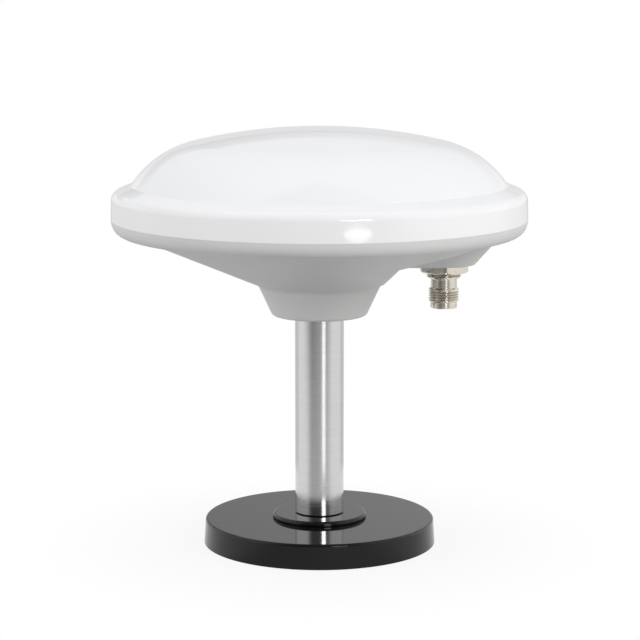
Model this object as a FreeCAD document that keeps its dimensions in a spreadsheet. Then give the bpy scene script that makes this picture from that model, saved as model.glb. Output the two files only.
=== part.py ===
import FreeCAD, Part
import math
import os
import re
from collections import namedtuple

import Sketcher
from FreeCAD import Placement, Rotation, Vector

# Positioning antenna: a round head on a short steel pole with a round magnetic foot.
# Z is up, the origin is under the pole's axis on the floor, and the coaxial jack is on the +X side.
# Each row of SIZES is a name, a size in millimetres (or degrees, or a count) and what it is.

SIZES = [
    ("base_r", 43.0, "foot: radius at the floor"),
    ("base_taper", 0.6, "foot: how far the side leans in up to the top"),
    ("base_round", 0.9, "foot: rounding of the top edge"),
    ("cover_t", 1.6, "foot: wall of the black cup"),
    ("cover_lift", 0.3, "foot: the cup's rim above the floor"),
    ("fit_gap", 0.2, "side gap between pieces that drop into each other"),
    ("floor_pad_t", 1.0, "foot: rubber pad"),
    ("tray_t", 3.8, "foot: magnet tray"),
    ("plate_t", 3.0, "foot: steel backing plate"),
    ("magnet_r", 8.0, "foot: radius of a magnet"),
    ("magnet_t", 3.0, "foot: thickness of a magnet"),
    ("tray_edge", 4.1, "foot: wall of the tray outside the magnets"),
    ("magnet_count", 8, "foot: number of magnets"),
    ("tray_screw_wall", 2.2, "foot: wall of the tray between its middle hole and the tray screws"),
    ("tray_screw_turn", 22.5, "foot: direction of the first tray screw, between two magnets"),
    ("tray_screw_r", 1.5, "foot: tray screw shank"),
    ("tray_screw_head_r", 2.8, "foot: countersunk head of the tray screw"),
    ("tray_screw_length", 6.0, "foot: tray screw from head to tip"),
    ("tray_screw_count", 4, "foot: number of tray screws"),
    ("bolt_r", 4.0, "centre bolt: shank"),
    ("bolt_head_r", 6.5, "centre bolt: head"),
    ("bolt_head_t", 3.6, "centre bolt: height of the head"),
    ("bolt_head_round", 0.4, "centre bolt: rounding of the head"),
    ("bolt_point", 0.8, "centre bolt: bevel of the tip"),
    ("bolt_socket_af", 5.0, "centre bolt: key size across flats"),
    ("bolt_socket_depth", 2.0, "centre bolt: depth of the key socket"),
    ("bolt_reach", 14.0, "centre bolt: length inside the foot plug"),
    ("bolt_gap", 0.3, "centre bolt: gap in the holes it passes"),
    ("head_hole_gap", 1.0, "centre bolt: gap around its head"),
    ("collar_r", 17.1, "collar: radius"),
    ("collar_t", 1.8, "collar: thickness"),
    ("collar_round", 0.8, "collar: rounding of the top edge"),
    ("pole_r", 9.0, "pole: radius"),
    ("pole_wall", 1.5, "pole: wall of the tube"),
    ("pole_length", 74.2, "pole: from the collar to the head"),
    ("pole_chamfer", 0.4, "pole: bevel at both ends"),
    ("plug_gap", 0.05, "pole: radial gap of the plugs in the tube"),
    ("plug_length", 18.0, "pole: length of the plugs in the tube"),
    ("stud_r", 7.94, "head thread: outer radius"),
    ("stud_length", 14.0, "head thread: length"),
    ("stud_chamfer", 1.2, "head thread: bevel of the tip"),
    ("thread_gap", 0.15, "radial gap of screwed pieces"),
    ("head_r", 76.0, "head: radius at the seam"),
    ("edge_inset", 37.2, "radome: the centre of the dome's edge arc lies this far inside the seam"),
    ("edge_sink", 7.1, "radome: the centre of the dome's edge arc lies this far under the seam"),
    ("edge_arc_r", 35.5, "radome: radius of the dome's edge arc"),
    ("crown_arc_r", 205.0, "radome: radius of the dome's crown arc"),
    ("crease_angle", 32.9, "radome: direction of the crease from the edge arc's centre"),
    ("side_h", 9.5, "radome: height of the side wall up to the shoulder's corner"),
    ("side_flare", 0.4, "radome: how far the side wall spreads from the shoulder to the seam"),
    ("shoulder_round", 3.5, "radome: rounding of the shoulder's corner"),
    ("shoulder_dip", 1.8, "radome: the inner corner of the shoulder lies this far under the outer one"),
    ("shoulder_inner_round", 1.75, "radome: rounding of the shoulder's inner corner"),
    ("radome_t", 2.6, "radome: wall"),
    ("spigot_h", 6.0, "housing: height of the spigot inside the radome"),
    ("spigot_t", 2.7, "housing: wall of the spigot"),
    ("spigot_gap", 0.25, "housing: gap between the spigot and the radome"),
    ("seal_groove_h", 2.0, "housing: start of the seal groove over the seam"),
    ("seal_groove_w", 1.8, "housing: width of the seal groove"),
    ("seal_groove_depth", 1.1, "housing: depth of the seal groove"),
    ("seal_section_r", 0.66, "radome seal: radius of its section"),
    ("boss_r", 17.3, "housing: radius of the boss's face"),
    ("boss_round", 1.8, "housing: rounding of the boss's edge"),
    ("boss_flare", 5.3, "housing: how far the boss spreads up to the knuckle"),
    ("knuckle_h", 11.35, "housing: height of the knuckle between boss and funnel"),
    ("knuckle_round", 3.2, "housing: rounding of the knuckle"),
    ("funnel_rise", 18.65, "housing: rise of the funnel from the knuckle to the lip"),
    ("lip_w", 2.6, "housing: width of the lip under the rim"),
    ("lip_drop", 0.2, "housing: drop of the lip from the funnel's end"),
    ("rim_w", 6.2, "housing: width of the rim's slanting underside"),
    ("rim_step", 1.4, "housing: rise of the rim's slanting underside"),
    ("rim_flare", 0.6, "housing: how far the rim's side spreads up to the seam"),
    ("rim_side_h", 4.8, "housing: height of the rim's side from its corner to the seam"),
    ("rim_round", 5.0, "housing: rounding of the rim's lower corner"),
    ("housing_t", 2.6, "housing: wall"),
    ("floor_lift", 0.48, "housing: the floor round the hub lies this far over the knuckle's wall"),
    ("hub_r", 17.5, "housing: radius of the hub around the insert"),
    ("hub_h", 20.0, "housing: height of the hub"),
    ("scoop_shift", 20.0, "scoop: its axis lies this far behind the head's axis"),
    ("scoop_inset", 0.45, "scoop: it starts this far inside the knuckle, in line with the jack"),
    ("scoop_under", 1.0, "scoop: it starts this far under the knuckle"),
    ("scoop_wall_run", 9.15, "scoop: run of its steep wall"),
    ("scoop_wall_angle", 43.7, "scoop: slope of its steep wall"),
    ("scoop_drop", 0.58, "scoop: its shallow roof ends this far under the lip"),
    ("pad_gap", 3.05, "jack pad: its half round face lies this far outside the scoop's bend"),
    ("pad_root", 5.3, "jack pad: it starts this far inside the scoop's bend"),
    ("pad_rise", 8.45, "jack pad: height of its face over the start of the scoop"),
    ("pad_r", 11.3, "jack pad: radius and half width"),
    ("pad_draft", 41.7, "jack pad: slope of its sides from upright"),
    ("pad_round", 1.2, "jack pad: rounding of its edge"),
    ("pad_t", 3.0, "jack pad: wall that the jack clamps"),
    ("seat_r", 10.5, "jack pad: radius of the seat inside"),
    ("insert_r", 11.0, "insert: radius"),
    ("insert_length", 19.6, "insert: length with its flange"),
    ("insert_bore_depth", 16.0, "insert: depth of the threaded bore"),
    ("insert_flange_af", 26.0, "insert: hexagonal flange across flats"),
    ("insert_flange_t", 4.0, "insert: thickness of the flange"),
    ("mould_gap", 0.05, "radial gap of pieces that are bonded in"),
    ("board_gap", 3.95, "board: gap between its edge and the housing's spigot"),
    ("board_t", 1.6, "board: thickness"),
    ("board_sink", 2.2, "board: its lower face lies this far under the seam"),
    ("board_screw_inset", 8.5, "board: the screws lie this far inside its edge"),
    ("board_screw_count", 6, "board: number of screws"),
    ("board_screw_turn", 30.0, "board: direction of the first screw"),
    ("board_screw_r", 1.45, "board screw: shank"),
    ("board_screw_head_r", 2.8, "board screw: head"),
    ("board_screw_head_t", 1.8, "board screw: height of the head"),
    ("board_screw_length", 5.0, "board screw: length under the head"),
    ("standoff_r", 3.0, "housing: radius of a standoff"),
    ("lower_plate_r", 52.0, "lower patch: radius"),
    ("upper_plate_r", 38.0, "upper patch: radius"),
    ("patch_t", 1.6, "patches: thickness"),
    ("lower_gap", 9.0, "height of the lower patch over the board"),
    ("upper_gap", 8.4, "height of the upper patch over the lower one"),
    ("spacer_r", 3.2, "spacers: radius"),
    ("spacer_ring", 28.0, "spacers: radius of their ring"),
    ("spacer_count", 4, "spacers: number in each layer"),
    ("spacer_turn", 45.0, "spacers: direction of the first one"),
    ("plate_screw_r", 1.45, "plate screws: shank"),
    ("plate_screw_head_r", 2.8, "plate screws: head"),
    ("plate_screw_head_t", 1.8, "plate screws: height of the head"),
    ("plate_screw_end", 0.5, "plate screws: length past the nuts"),
    ("plate_nut_r", 3.0, "plate nuts: radius"),
    ("plate_nut_t", 2.4, "plate nuts: thickness"),
    ("screw_hole_gap", 0.15, "radial gap of screws in the holes they pass"),
    ("screw_point", 0.5, "bevel of the screws' tips"),
    ("screw_head_round", 0.9, "rounding of the screws' heads"),
    ("post_r", 4.0, "centre post: radius of its foot"),
    ("post_neck_r", 2.5, "centre post: radius above the lower patch"),
    ("post_bore_depth", 10.0, "centre post: depth of its bore"),
    ("centre_screw_r", 1.25, "centre screw: shank"),
    ("centre_screw_head_r", 2.8, "centre screw: head"),
    ("centre_screw_head_t", 1.8, "centre screw: height of the head"),
    ("centre_screw_length", 9.0, "centre screw: length under the head"),
    ("feed_r", 0.6, "feed pins: radius"),
    ("feed_ring", 14.0, "feed pins of the upper patch: radius of their ring"),
    ("low_feed_ring", 18.0, "feed pins of the lower patch: radius of their ring"),
    ("feed_count", 4, "feed pins: number for each patch"),
    ("feed_tail", 0.6, "feed pins: length past the board and the patch"),
    ("feed_clear_r", 2.0, "feed pins: hole that they pass in the lower patch"),
    ("can_length", 50.0, "shield can: length"),
    ("can_width", 32.0, "shield can: width"),
    ("can_depth", 7.0, "shield can: depth"),
    ("can_t", 0.4, "shield can: sheet"),
    ("can_round", 2.0, "shield can: rounding of its corners"),
    ("can_shift", 9.0, "shield can: its middle lies this far behind the axis"),
    ("flange_r", 9.0, "jack: radius of the flange inside"),
    ("flange_t", 2.4, "jack: thickness of the flange"),
    ("tail_r", 4.0, "jack: radius of its tail"),
    ("tail_length", 1.2, "jack: length of its tail"),
    ("barrel_r", 6.3, "jack: radius of the mounting thread"),
    ("barrel_length", 4.4, "jack: mounting thread outside the pad"),
    ("barrel_chamfer", 0.5, "jack: bevel of the mounting thread"),
    ("neck_r", 4.8, "jack: radius of the neck"),
    ("neck_length", 3.7, "jack: length of the neck"),
    ("coupling_r", 5.55, "jack: radius of the coupling thread"),
    ("coupling_length", 5.2, "jack: length of the coupling thread"),
    ("coupling_chamfer", 0.4, "jack: bevels of the coupling thread"),
    ("tip_r", 4.9, "jack: radius of the plain tip"),
    ("tip_length", 2.8, "jack: length of the plain tip"),
    ("tip_chamfer", 0.3, "jack: bevel of the tip"),
    ("jack_bore_r", 4.05, "jack: radius of the mating bore"),
    ("jack_bore_depth", 8.2, "jack: depth of the mating bore"),
    ("jack_hole_gap", 0.15, "jack: radial gap in the pad's hole"),
    ("jack_seal_r", 7.6, "jack seal: radius of its ring"),
    ("jack_seal_section_r", 0.6, "jack seal: radius of its section"),
    ("nut_af", 17.0, "jack nut: across flats"),
    ("nut_t", 2.5, "jack nut: thickness"),
    ("nut_turn", 26.5, "jack nut: direction of its first corner"),
    ("nut_bevel", 0.5, "jack nut: bevel of its corners"),
    ("nose_r", 2.35, "insulator: radius of its nose"),
    ("nose_length", 5.0, "insulator: length of its nose"),
    ("core_r", 2.05, "insulator: radius inside the body"),
    ("contact_r", 0.9, "contact: radius"),
    ("contact_hole_r", 0.5, "contact: radius of its socket"),
    ("contact_hole_depth", 4.5, "contact: depth of its socket"),
    ("contact_inset", 0.5, "contact: its end lies this far inside the nose"),
    ("lead_r", 0.9, "inner lead: radius"),
    ("lead_bend", 2.5, "inner lead: radius of its bends"),
    ("lead_rise", 3.6, "inner lead: height of its level run over the jack's tail"),
    ("lead_reach", 14.65, "inner lead: run from the jack's axis to where it meets the board"),
]

# Radii and heights that several pieces share, as expressions of the sizes. The foot's radii follow
# from its outer radius. The head's radii follow from the seam, its heights from the boss's face.
BASE_TOP_R = "(base_r - base_taper)"
TRAY_R = f"({BASE_TOP_R} - cover_t - fit_gap)"
HEAD_HOLE_R = "(bolt_head_r + head_hole_gap)"
MAGNET_RING = f"({TRAY_R} - tray_edge - magnet_r)"
TRAY_SCREW_RING = f"({HEAD_HOLE_R} + tray_screw_wall + tray_screw_head_r)"
RIM_R = "(head_r - rim_flare)"
LIP_R = f"({RIM_R} - rim_w)"
FUNNEL_R = f"({LIP_R} - lip_w)"
KNUCKLE_R = "(boss_r + boss_flare)"
FUNNEL_RUN = f"({FUNNEL_R} - {KNUCKLE_R})"
FUNNEL_H = "(knuckle_h + funnel_rise)"
LIP_H = f"({FUNNEL_H} - lip_drop)"
RIM_H = f"({LIP_H} + rim_step)"
SEAM_H = f"({RIM_H} + rim_side_h)"
SPIGOT_R = "(head_r - radome_t - spigot_gap)"
INNER_RIM_R = f"({SPIGOT_R} - spigot_t)"
BOARD_R = f"({INNER_RIM_R} - board_gap)"
BOARD_H = f"({SEAM_H} - board_sink)"
SCREW_RING = f"({BOARD_R} - board_screw_inset)"
SCOOP_FOOT_R = f"({KNUCKLE_R} - scoop_inset)"
SCOOP_FOOT_H = "(knuckle_h - scoop_under)"
SCOOP_BEND_R = f"({SCOOP_FOOT_R} + scoop_wall_run)"
SCOOP_BEND_H = f"({SCOOP_FOOT_H} + scoop_wall_run * tan(scoop_wall_angle))"
SCOOP_SLOPE = f"(({LIP_H} - scoop_drop - {SCOOP_BEND_H}) / ({FUNNEL_R} - {SCOOP_BEND_R}))"
JACK_X = f"({SCOOP_BEND_R} + pad_gap + pad_r)"
PAD_H = f"({SCOOP_FOOT_H} + pad_rise)"
PLATE_Z = "floor_pad_t + tray_t"
BASE_TOP = f"{PLATE_Z} + plate_t + cover_t"
COLLAR_TOP = f"{BASE_TOP} + collar_t"
POLE_TOP = f"{COLLAR_TOP} + pole_length"
JACK_SEAT = f"{POLE_TOP} + {PAD_H}"
BOARD_Z = f"{POLE_TOP} + {BOARD_H}"
BOARD_TOP = f"{BOARD_Z} + board_t"
LOWER_PATCH = f"{BOARD_TOP} + lower_gap"
LOWER_TOP = f"{LOWER_PATCH} + patch_t"
UPPER_PATCH = f"{LOWER_TOP} + upper_gap"
UPPER_TOP = f"{UPPER_PATCH} + patch_t"

# The dome's two arcs are tangent, so the crown arc's centre follows from the edge arc's.
EDGE_CENTRE_R = "(head_r - edge_inset)"
EDGE_CENTRE_H = f"({SEAM_H} - edge_sink)"
# The side wall is an arc that stands upright at the seam.
SIDE_ARC_R = "((side_h^2 + side_flare^2) / (2 * side_flare))"
CROWN_CENTRE_H = f"({EDGE_CENTRE_H} - sqrt((crown_arc_r - edge_arc_r)^2 - {EDGE_CENTRE_R}^2))"
FUNNEL_SLOPE = f"(funnel_rise / {FUNNEL_RUN})"
FUNNEL_WALL = f"(housing_t * sqrt(1 + {FUNNEL_SLOPE}^2))"

Corner = namedtuple("Corner", "x y round arc", defaults=("", ""))

doc = FreeCAD.newDocument("antenna")
sheet = doc.addObject("Spreadsheet::Sheet", "sizes")
ALIASES = set()
for row, (alias, number, meaning) in enumerate(SIZES, start=1):
    sheet.set(f"A{row}", meaning)
    sheet.set(f"B{row}", str(number))
    sheet.setAlias(f"B{row}", alias)
    ALIASES.add(alias)
doc.recompute()


def value(expression):
    """The number that an expression of the sizes gives."""
    return float(sheet.evalExpression(expression))


def drive(item, prop, expression):
    """Bind a property to an expression of the sizes."""
    def cell(word):
        return f"sizes.{word[0]}" if word[0] in ALIASES else word[0]
    item.setExpression(prop, re.sub(r"[a-z]\w*", cell, expression))


def new_body(label, x="0", z="0", turn="0"):
    """A body for one piece, set at its place on the antenna."""
    body = doc.addObject("PartDesign::Body", label)
    body.Label = label
    place(body, x, z, turn)
    return body


def place(item, x="0", z="0", turn="0"):
    """Put a piece at (x, 0, z), turned about Z."""
    item.Placement = Placement(Vector(value(x), 0, value(z)), Rotation(Vector(0, 0, 1), value(turn)))
    drive(item, "Placement.Base.x", x)
    drive(item, "Placement.Base.z", z)
    drive(item, "Placement.Rotation.Angle", turn)


def origin_item(body, role):
    return next(item for item in body.Origin.OriginFeatures if item.Role == role)


def new_sketch(body, plane="XZ_Plane", lift=""):
    """A sketch on one of the body's origin planes, lifted along the plane's normal."""
    sketch = body.newObject("Sketcher::SketchObject", f"{body.Name}_sketch")
    sketch.AttachmentSupport = [(origin_item(body, plane), "")]
    sketch.MapMode = "FlatFace"
    if lift:
        drive(sketch, "AttachmentOffset.Base.z", lift)
    return sketch


def constrain(sketch, *terms):
    return sketch.addConstraint(Sketcher.Constraint(*terms))


def measure(sketch, kind, terms, expression):
    """Add a dimension whose value is an expression of the sizes."""
    index = constrain(sketch, kind, *terms, value(expression))
    drive(sketch, f"Constraints[{index}]", expression)


def pin_down(sketch, shape, end, x, y):
    """Fix one end of a shape at (x, y)."""
    for kind, axis, expression in (("DistanceX", -2, x), ("DistanceY", -1, y)):
        if expression == "0":
            constrain(sketch, "PointOnObject", shape, end, axis)
        else:
            measure(sketch, kind, (-1, 1, shape, end), expression)


def draw_arc(sketch, centre, start, finish, radius):
    """An arc that turns the short way. Returns it with its ends in the outline's order."""
    from_angle = math.atan2(start.y - centre.y, start.x - centre.x)
    to_angle = math.atan2(finish.y - centre.y, finish.x - centre.x)
    forward = (to_angle - from_angle) % math.tau < math.pi
    angles = (from_angle, to_angle) if forward else (to_angle, from_angle)
    circle = Part.Circle(centre, Vector(0, 0, 1), radius)
    shape = sketch.addGeometry(Part.ArcOfCircle(circle, *angles), False)
    return (shape, 1, 2) if forward else (shape, 2, 1)


def draw_outline(sketch, corners, closed=True):
    """An outline or an open path. A corner can be rounded, or start an arc that bulges to the left."""
    points = [Vector(value(corner.x), value(corner.y), 0) for corner in corners]
    ways = [(points[(i + 1) % len(points)] - points[i]).normalize() for i in range(len(points))]
    setbacks = []
    for i, corner in enumerate(corners):
        turn = ways[i - 1].getAngle(ways[i])
        setbacks.append(value(corner.round) * math.tan(turn / 2) if corner.round else 0)
    sides = []
    for i, corner in enumerate(corners if closed else corners[:-1]):
        following = (i + 1) % len(points)
        start = points[i] + ways[i] * setbacks[i]
        finish = points[following] - ways[i] * setbacks[following]
        if corner.arc:
            radius = value(corner.arc)
            half = (finish - start) / 2
            inward = Vector(half.y, -half.x, 0).normalize()
            centre = start + half + inward * math.sqrt(radius**2 - half.Length**2)
            side = draw_arc(sketch, centre, start, finish, radius)
            measure(sketch, "Radius", (side[0],), corner.arc)
        else:
            side = (sketch.addGeometry(Part.LineSegment(start, finish), False), 1, 2)
        sides.append(side)
    if not closed:
        pin_down(sketch, sides[0][0], sides[0][1], corners[0].x, corners[0].y)
        pin_down(sketch, sides[-1][0], sides[-1][2], corners[-1].x, corners[-1].y)
    for i, corner in enumerate(corners):
        if not closed and i in (0, len(corners) - 1):
            continue
        before, _, before_end = sides[i - 1]
        after, after_start, _ = sides[i]
        if not corner.round:
            constrain(sketch, "Coincident", before, before_end, after, after_start)
            pin_down(sketch, after, after_start, corner.x, corner.y)
            continue
        apex = sketch.addGeometry(Part.Point(points[i]), True)
        pin_down(sketch, apex, 1, corner.x, corner.y)
        constrain(sketch, "PointOnObject", apex, 1, before)
        constrain(sketch, "PointOnObject", apex, 1, after)
        start = points[i] - ways[i - 1] * setbacks[i]
        finish = points[i] + ways[i] * setbacks[i]
        radius = value(corner.round)
        bisector = (ways[i] - ways[i - 1]).normalize()
        centre = points[i] + bisector * math.hypot(radius, setbacks[i])
        shape, first, last = draw_arc(sketch, centre, start, finish, radius)
        constrain(sketch, "Tangent", before, before_end, shape, first)
        constrain(sketch, "Tangent", shape, last, after, after_start)
        measure(sketch, "Radius", (shape,), corner.round)


def draw_circle(sketch, radius, x="0", y="0"):
    circle = Part.Circle(Vector(value(x), value(y), 0), Vector(0, 0, 1), value(radius))
    shape = sketch.addGeometry(circle, False)
    pin_down(sketch, shape, 3, x, y)
    measure(sketch, "Radius", (shape,), radius)


def around(ring, turn):
    """The place on a ring, seen from above, in the direction of the turn."""
    return f"{ring} * cos({turn})", f"{ring} * sin({turn})"


def hexagon(across_flats):
    """The six corners of a hexagon around the sketch's origin."""
    radius = f"({across_flats} / sqrt(3))"
    return [Corner(*around(radius, str(angle))) for angle in range(0, 360, 60)]


def check_cut(body, feature):
    """A cut must take something away."""
    doc.recompute()
    if feature.Shape.Volume >= feature.BaseFeature.Shape.Volume - 1e-6:
        raise RuntimeError(f"{body.Label}: {feature.Label} cuts nothing")


def turn_profile(body, corners, about="", cut=False):
    """Revolve an outline about Z, or about an upright line at x = about."""
    sketch = new_sketch(body)
    draw_outline(sketch, corners)
    axis = "V_Axis"
    if about:
        foot = Vector(value(about), 0, 0)
        line = sketch.addGeometry(Part.LineSegment(foot, foot + Vector(0, 1, 0)), True)
        pin_down(sketch, line, 1, about, "0")
        constrain(sketch, "Vertical", line)
        constrain(sketch, "Distance", line, 1)
        axis = "Axis0"
    kind = "PartDesign::Groove" if cut else "PartDesign::Revolution"
    feature = body.newObject(kind, f"{body.Name}_turned")
    feature.Profile = sketch
    feature.ReferenceAxis = (sketch, [axis])
    feature.Angle = 360
    if cut:
        check_cut(body, feature)
    doc.recompute()
    return feature


def pad(body, sketch, length):
    feature = body.newObject("PartDesign::Pad", f"{body.Name}_pad")
    feature.Profile = sketch
    drive(feature, "Length", length)
    doc.recompute()
    return feature


def pocket(body, sketch, depth):
    """Cut downwards from the sketch."""
    feature = body.newObject("PartDesign::Pocket", f"{body.Name}_pocket")
    feature.Profile = sketch
    drive(feature, "Length", depth)
    check_cut(body, feature)
    return feature


def pattern(body, features, count):
    """Repeat features around the body's Z axis."""
    feature = body.newObject("PartDesign::PolarPattern", f"{body.Name}_pattern")
    feature.Originals = features
    feature.Axis = (origin_item(body, "Z_Axis"), [""])
    feature.Angle = 360
    drive(feature, "Occurrences", count)
    body.Tip = feature
    doc.recompute()
    return feature


def drill(body, top, radius, ring, count, turn="0", depth=""):
    """A ring of round holes from the top face, right down or to a depth."""
    sketch = new_sketch(body, "XY_Plane", top)
    draw_circle(sketch, radius, *around(ring, turn))
    return pattern(body, [pocket(body, sketch, depth or top)], count)


def edges_at_height(shape, height):
    """Names of the edges that lie level at a height."""
    names = []
    for number, edge in enumerate(shape.Edges, start=1):
        box = edge.BoundBox
        if abs(box.ZMin - height) < 1e-4 and abs(box.ZMax - height) < 1e-4:
            names.append(f"Edge{number}")
    return names


def boolean(kind, label, parts):
    """Join or cut whole solids."""
    item = doc.addObject(f"Part::{kind}", label)
    item.Label = label
    if kind == "Cut":
        item.Base, item.Tool = parts
    else:
        item.Shapes = parts
    item.Refine = True
    doc.recompute()
    return item


def disc(label, radius, thickness, z, hole="0", x="0"):
    """A round plate with an optional hole in the middle."""
    body = new_body(label, x, z)
    turn_profile(body, [
        Corner(hole, "0"),
        Corner(radius, "0"),
        Corner(radius, thickness),
        Corner(hole, thickness),
    ])
    return body


def ring_of(label, corners, ring, count, z, turn="0"):
    """Equal turned pieces in a ring, one outline repeated around Z."""
    body = new_body(label, z=z, turn=turn)
    first = turn_profile(body, corners, about=ring)
    pattern(body, [first], count)
    return body


def screw_outline(ring, name, length):
    """Half a pan head screw, its head's seat at height 0. Its shank and head are the sizes of its name."""
    return [
        Corner(ring, f"-({length})"),
        Corner(f"{ring} + {name}_r - screw_point", f"-({length})"),
        Corner(f"{ring} + {name}_r", f"screw_point - ({length})"),
        Corner(f"{ring} + {name}_r", "0"),
        Corner(f"{ring} + {name}_head_r", "0"),
        Corner(f"{ring} + {name}_head_r", f"{name}_head_t", "screw_head_round"),
        Corner(ring, f"{name}_head_t"),
    ]


def seal_ring(label, radius, section, x="0", z="0"):
    """An O-ring."""
    ring = doc.addObject("Part::Torus", label)
    ring.Label = label
    drive(ring, "Radius1", radius)
    drive(ring, "Radius2", section)
    place(ring, x, z)
    return ring


def make_foot():
    """The round magnetic foot: pad, tray with magnets, backing plate, cup and collar."""
    bolt_hole = "(bolt_r + bolt_gap)"
    disc("base_pad", "base_r - cover_t - fit_gap", "floor_pad_t", "0", HEAD_HOLE_R)

    tray = new_body("magnet_tray", z="floor_pad_t", turn="tray_screw_turn")
    turn_profile(tray, [
        Corner(HEAD_HOLE_R, "0"),
        Corner(TRAY_R, "0"),
        Corner(TRAY_R, "tray_t"),
        Corner(HEAD_HOLE_R, "tray_t"),
    ])
    pocket_r = "magnet_r + fit_gap"
    drill(tray, "tray_t", pocket_r, MAGNET_RING, "magnet_count", "-tray_screw_turn", "magnet_t")
    hole_r = "tray_screw_r + mould_gap"
    cone_h = "tray_screw_head_r - tray_screw_r - mould_gap"
    countersink = [
        Corner(TRAY_SCREW_RING, "0"),
        Corner(f"{TRAY_SCREW_RING} + tray_screw_head_r", "0"),
        Corner(f"{TRAY_SCREW_RING} + {hole_r}", cone_h),
        Corner(f"{TRAY_SCREW_RING} + {hole_r}", "tray_t"),
        Corner(TRAY_SCREW_RING, "tray_t"),
    ]
    hole = turn_profile(tray, countersink, TRAY_SCREW_RING, cut=True)
    pattern(tray, [hole], "tray_screw_count")

    magnet = [
        Corner(MAGNET_RING, "0"),
        Corner(f"{MAGNET_RING} + magnet_r", "0"),
        Corner(f"{MAGNET_RING} + magnet_r", "magnet_t"),
        Corner(MAGNET_RING, "magnet_t"),
    ]
    ring_of("magnet_discs", magnet, MAGNET_RING, "magnet_count", f"{PLATE_Z} - magnet_t")

    screw = [
        Corner(TRAY_SCREW_RING, "0"),
        Corner(f"{TRAY_SCREW_RING} + tray_screw_head_r - mould_gap", "0"),
        Corner(f"{TRAY_SCREW_RING} + tray_screw_r", cone_h),
        Corner(f"{TRAY_SCREW_RING} + tray_screw_r", "tray_screw_length"),
        Corner(TRAY_SCREW_RING, "tray_screw_length"),
    ]
    ring_of("tray_screws", screw, TRAY_SCREW_RING, "tray_screw_count", "floor_pad_t", "tray_screw_turn")

    plate = disc("backing_plate", TRAY_R, "plate_t", PLATE_Z, bolt_hole)
    drill(plate, "plate_t", hole_r, TRAY_SCREW_RING, "tray_screw_count", "tray_screw_turn")

    cover = new_body("base_cover")
    turn_profile(cover, [
        Corner("base_r", "cover_lift"),
        Corner(BASE_TOP_R, BASE_TOP, "base_round"),
        Corner(bolt_hole, BASE_TOP),
        Corner(bolt_hole, f"{BASE_TOP} - cover_t"),
        Corner(f"{BASE_TOP_R} - cover_t", f"{BASE_TOP} - cover_t"),
        Corner("base_r - cover_t", "cover_lift"),
    ])

    collar = new_body("foot_collar", z=BASE_TOP)
    turn_profile(collar, [
        Corner(bolt_hole, "0"),
        Corner("collar_r", "0"),
        Corner("collar_r", "collar_t", "collar_round"),
        Corner(bolt_hole, "collar_t"),
    ])


def make_centre_bolt():
    """The bolt that ties the foot to the pole, its head under the backing plate."""
    grip = "plate_t + cover_t + collar_t + bolt_reach"
    bolt = new_body("centre_bolt", z=PLATE_Z)
    turn_profile(bolt, [
        Corner("0", "-bolt_head_t"),
        Corner("bolt_head_r", "-bolt_head_t", "bolt_head_round"),
        Corner("bolt_head_r", "0"),
        Corner("bolt_r", "0"),
        Corner("bolt_r", f"{grip} - bolt_point"),
        Corner("bolt_r - bolt_point", grip),
        Corner("0", grip),
    ])
    sketch = new_sketch(bolt, "XY_Plane", "bolt_socket_depth - bolt_head_t")
    draw_outline(sketch, hexagon("bolt_socket_af"))
    pocket(bolt, sketch, "bolt_socket_depth")


def make_pole():
    """The steel tube with its two plugs."""
    tube_inner = "(pole_r - pole_wall)"
    plug_r = f"({tube_inner} - plug_gap)"
    tube = new_body("pole_tube", z=COLLAR_TOP)
    turn_profile(tube, [
        Corner(tube_inner, "0"),
        Corner("pole_r - pole_chamfer", "0"),
        Corner("pole_r", "pole_chamfer"),
        Corner("pole_r", "pole_length - pole_chamfer"),
        Corner("pole_r - pole_chamfer", "pole_length"),
        Corner(tube_inner, "pole_length"),
    ])

    disc("pole_foot_plug", plug_r, "plug_length", COLLAR_TOP, "bolt_r + mould_gap")

    stud = new_body("pole_top_stud", z=POLE_TOP)
    turn_profile(stud, [
        Corner("0", "-plug_length"),
        Corner(plug_r, "-plug_length"),
        Corner(plug_r, "0"),
        Corner("stud_r", "0"),
        Corner("stud_r", "stud_length - stud_chamfer"),
        Corner("stud_r - stud_chamfer", "stud_length"),
        Corner("0", "stud_length"),
    ])


def dome_corners(inset):
    """The dome from its top to the crease: two tangent arcs, moved inwards by the inset."""
    crown = f"(crown_arc_r - {inset})"
    edge = f"(edge_arc_r - {inset})"
    share = f"({crown} / (crown_arc_r - edge_arc_r))"
    rise = f"({EDGE_CENTRE_H} - {CROWN_CENTRE_H})"
    return [
        Corner("0", f"{CROWN_CENTRE_H} + {crown}", arc=crown),
        Corner(f"{EDGE_CENTRE_R} * {share}", f"{CROWN_CENTRE_H} + {rise} * {share}", arc=edge),
        Corner(
            f"{EDGE_CENTRE_R} + {edge} * cos(crease_angle)",
            f"{EDGE_CENTRE_H} + {edge} * sin(crease_angle)",
        ),
    ]


def make_radome():
    """The moulded cover: crowned dome, crease, shoulder and flared side wall."""
    radome = new_body("radome", z=POLE_TOP)
    turn_profile(radome, dome_corners("0") + [
        Corner("head_r - side_flare", f"{SEAM_H} + side_h", "shoulder_round", SIDE_ARC_R),
        Corner("head_r", SEAM_H),
        Corner("0", SEAM_H),
    ])
    turn_profile(radome, dome_corners("radome_t") + [
        Corner("head_r - radome_t", f"{SEAM_H} + side_h - shoulder_dip", "shoulder_inner_round"),
        Corner("head_r - radome_t", SEAM_H),
        Corner("0", SEAM_H),
    ], cut=True)
    middle = f"{SPIGOT_R} - seal_groove_depth + seal_section_r"
    height = f"{POLE_TOP} + {SEAM_H} + seal_groove_h + seal_groove_w / 2"
    seal_ring("radome_seal", middle, "seal_section_r", z=height)


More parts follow.
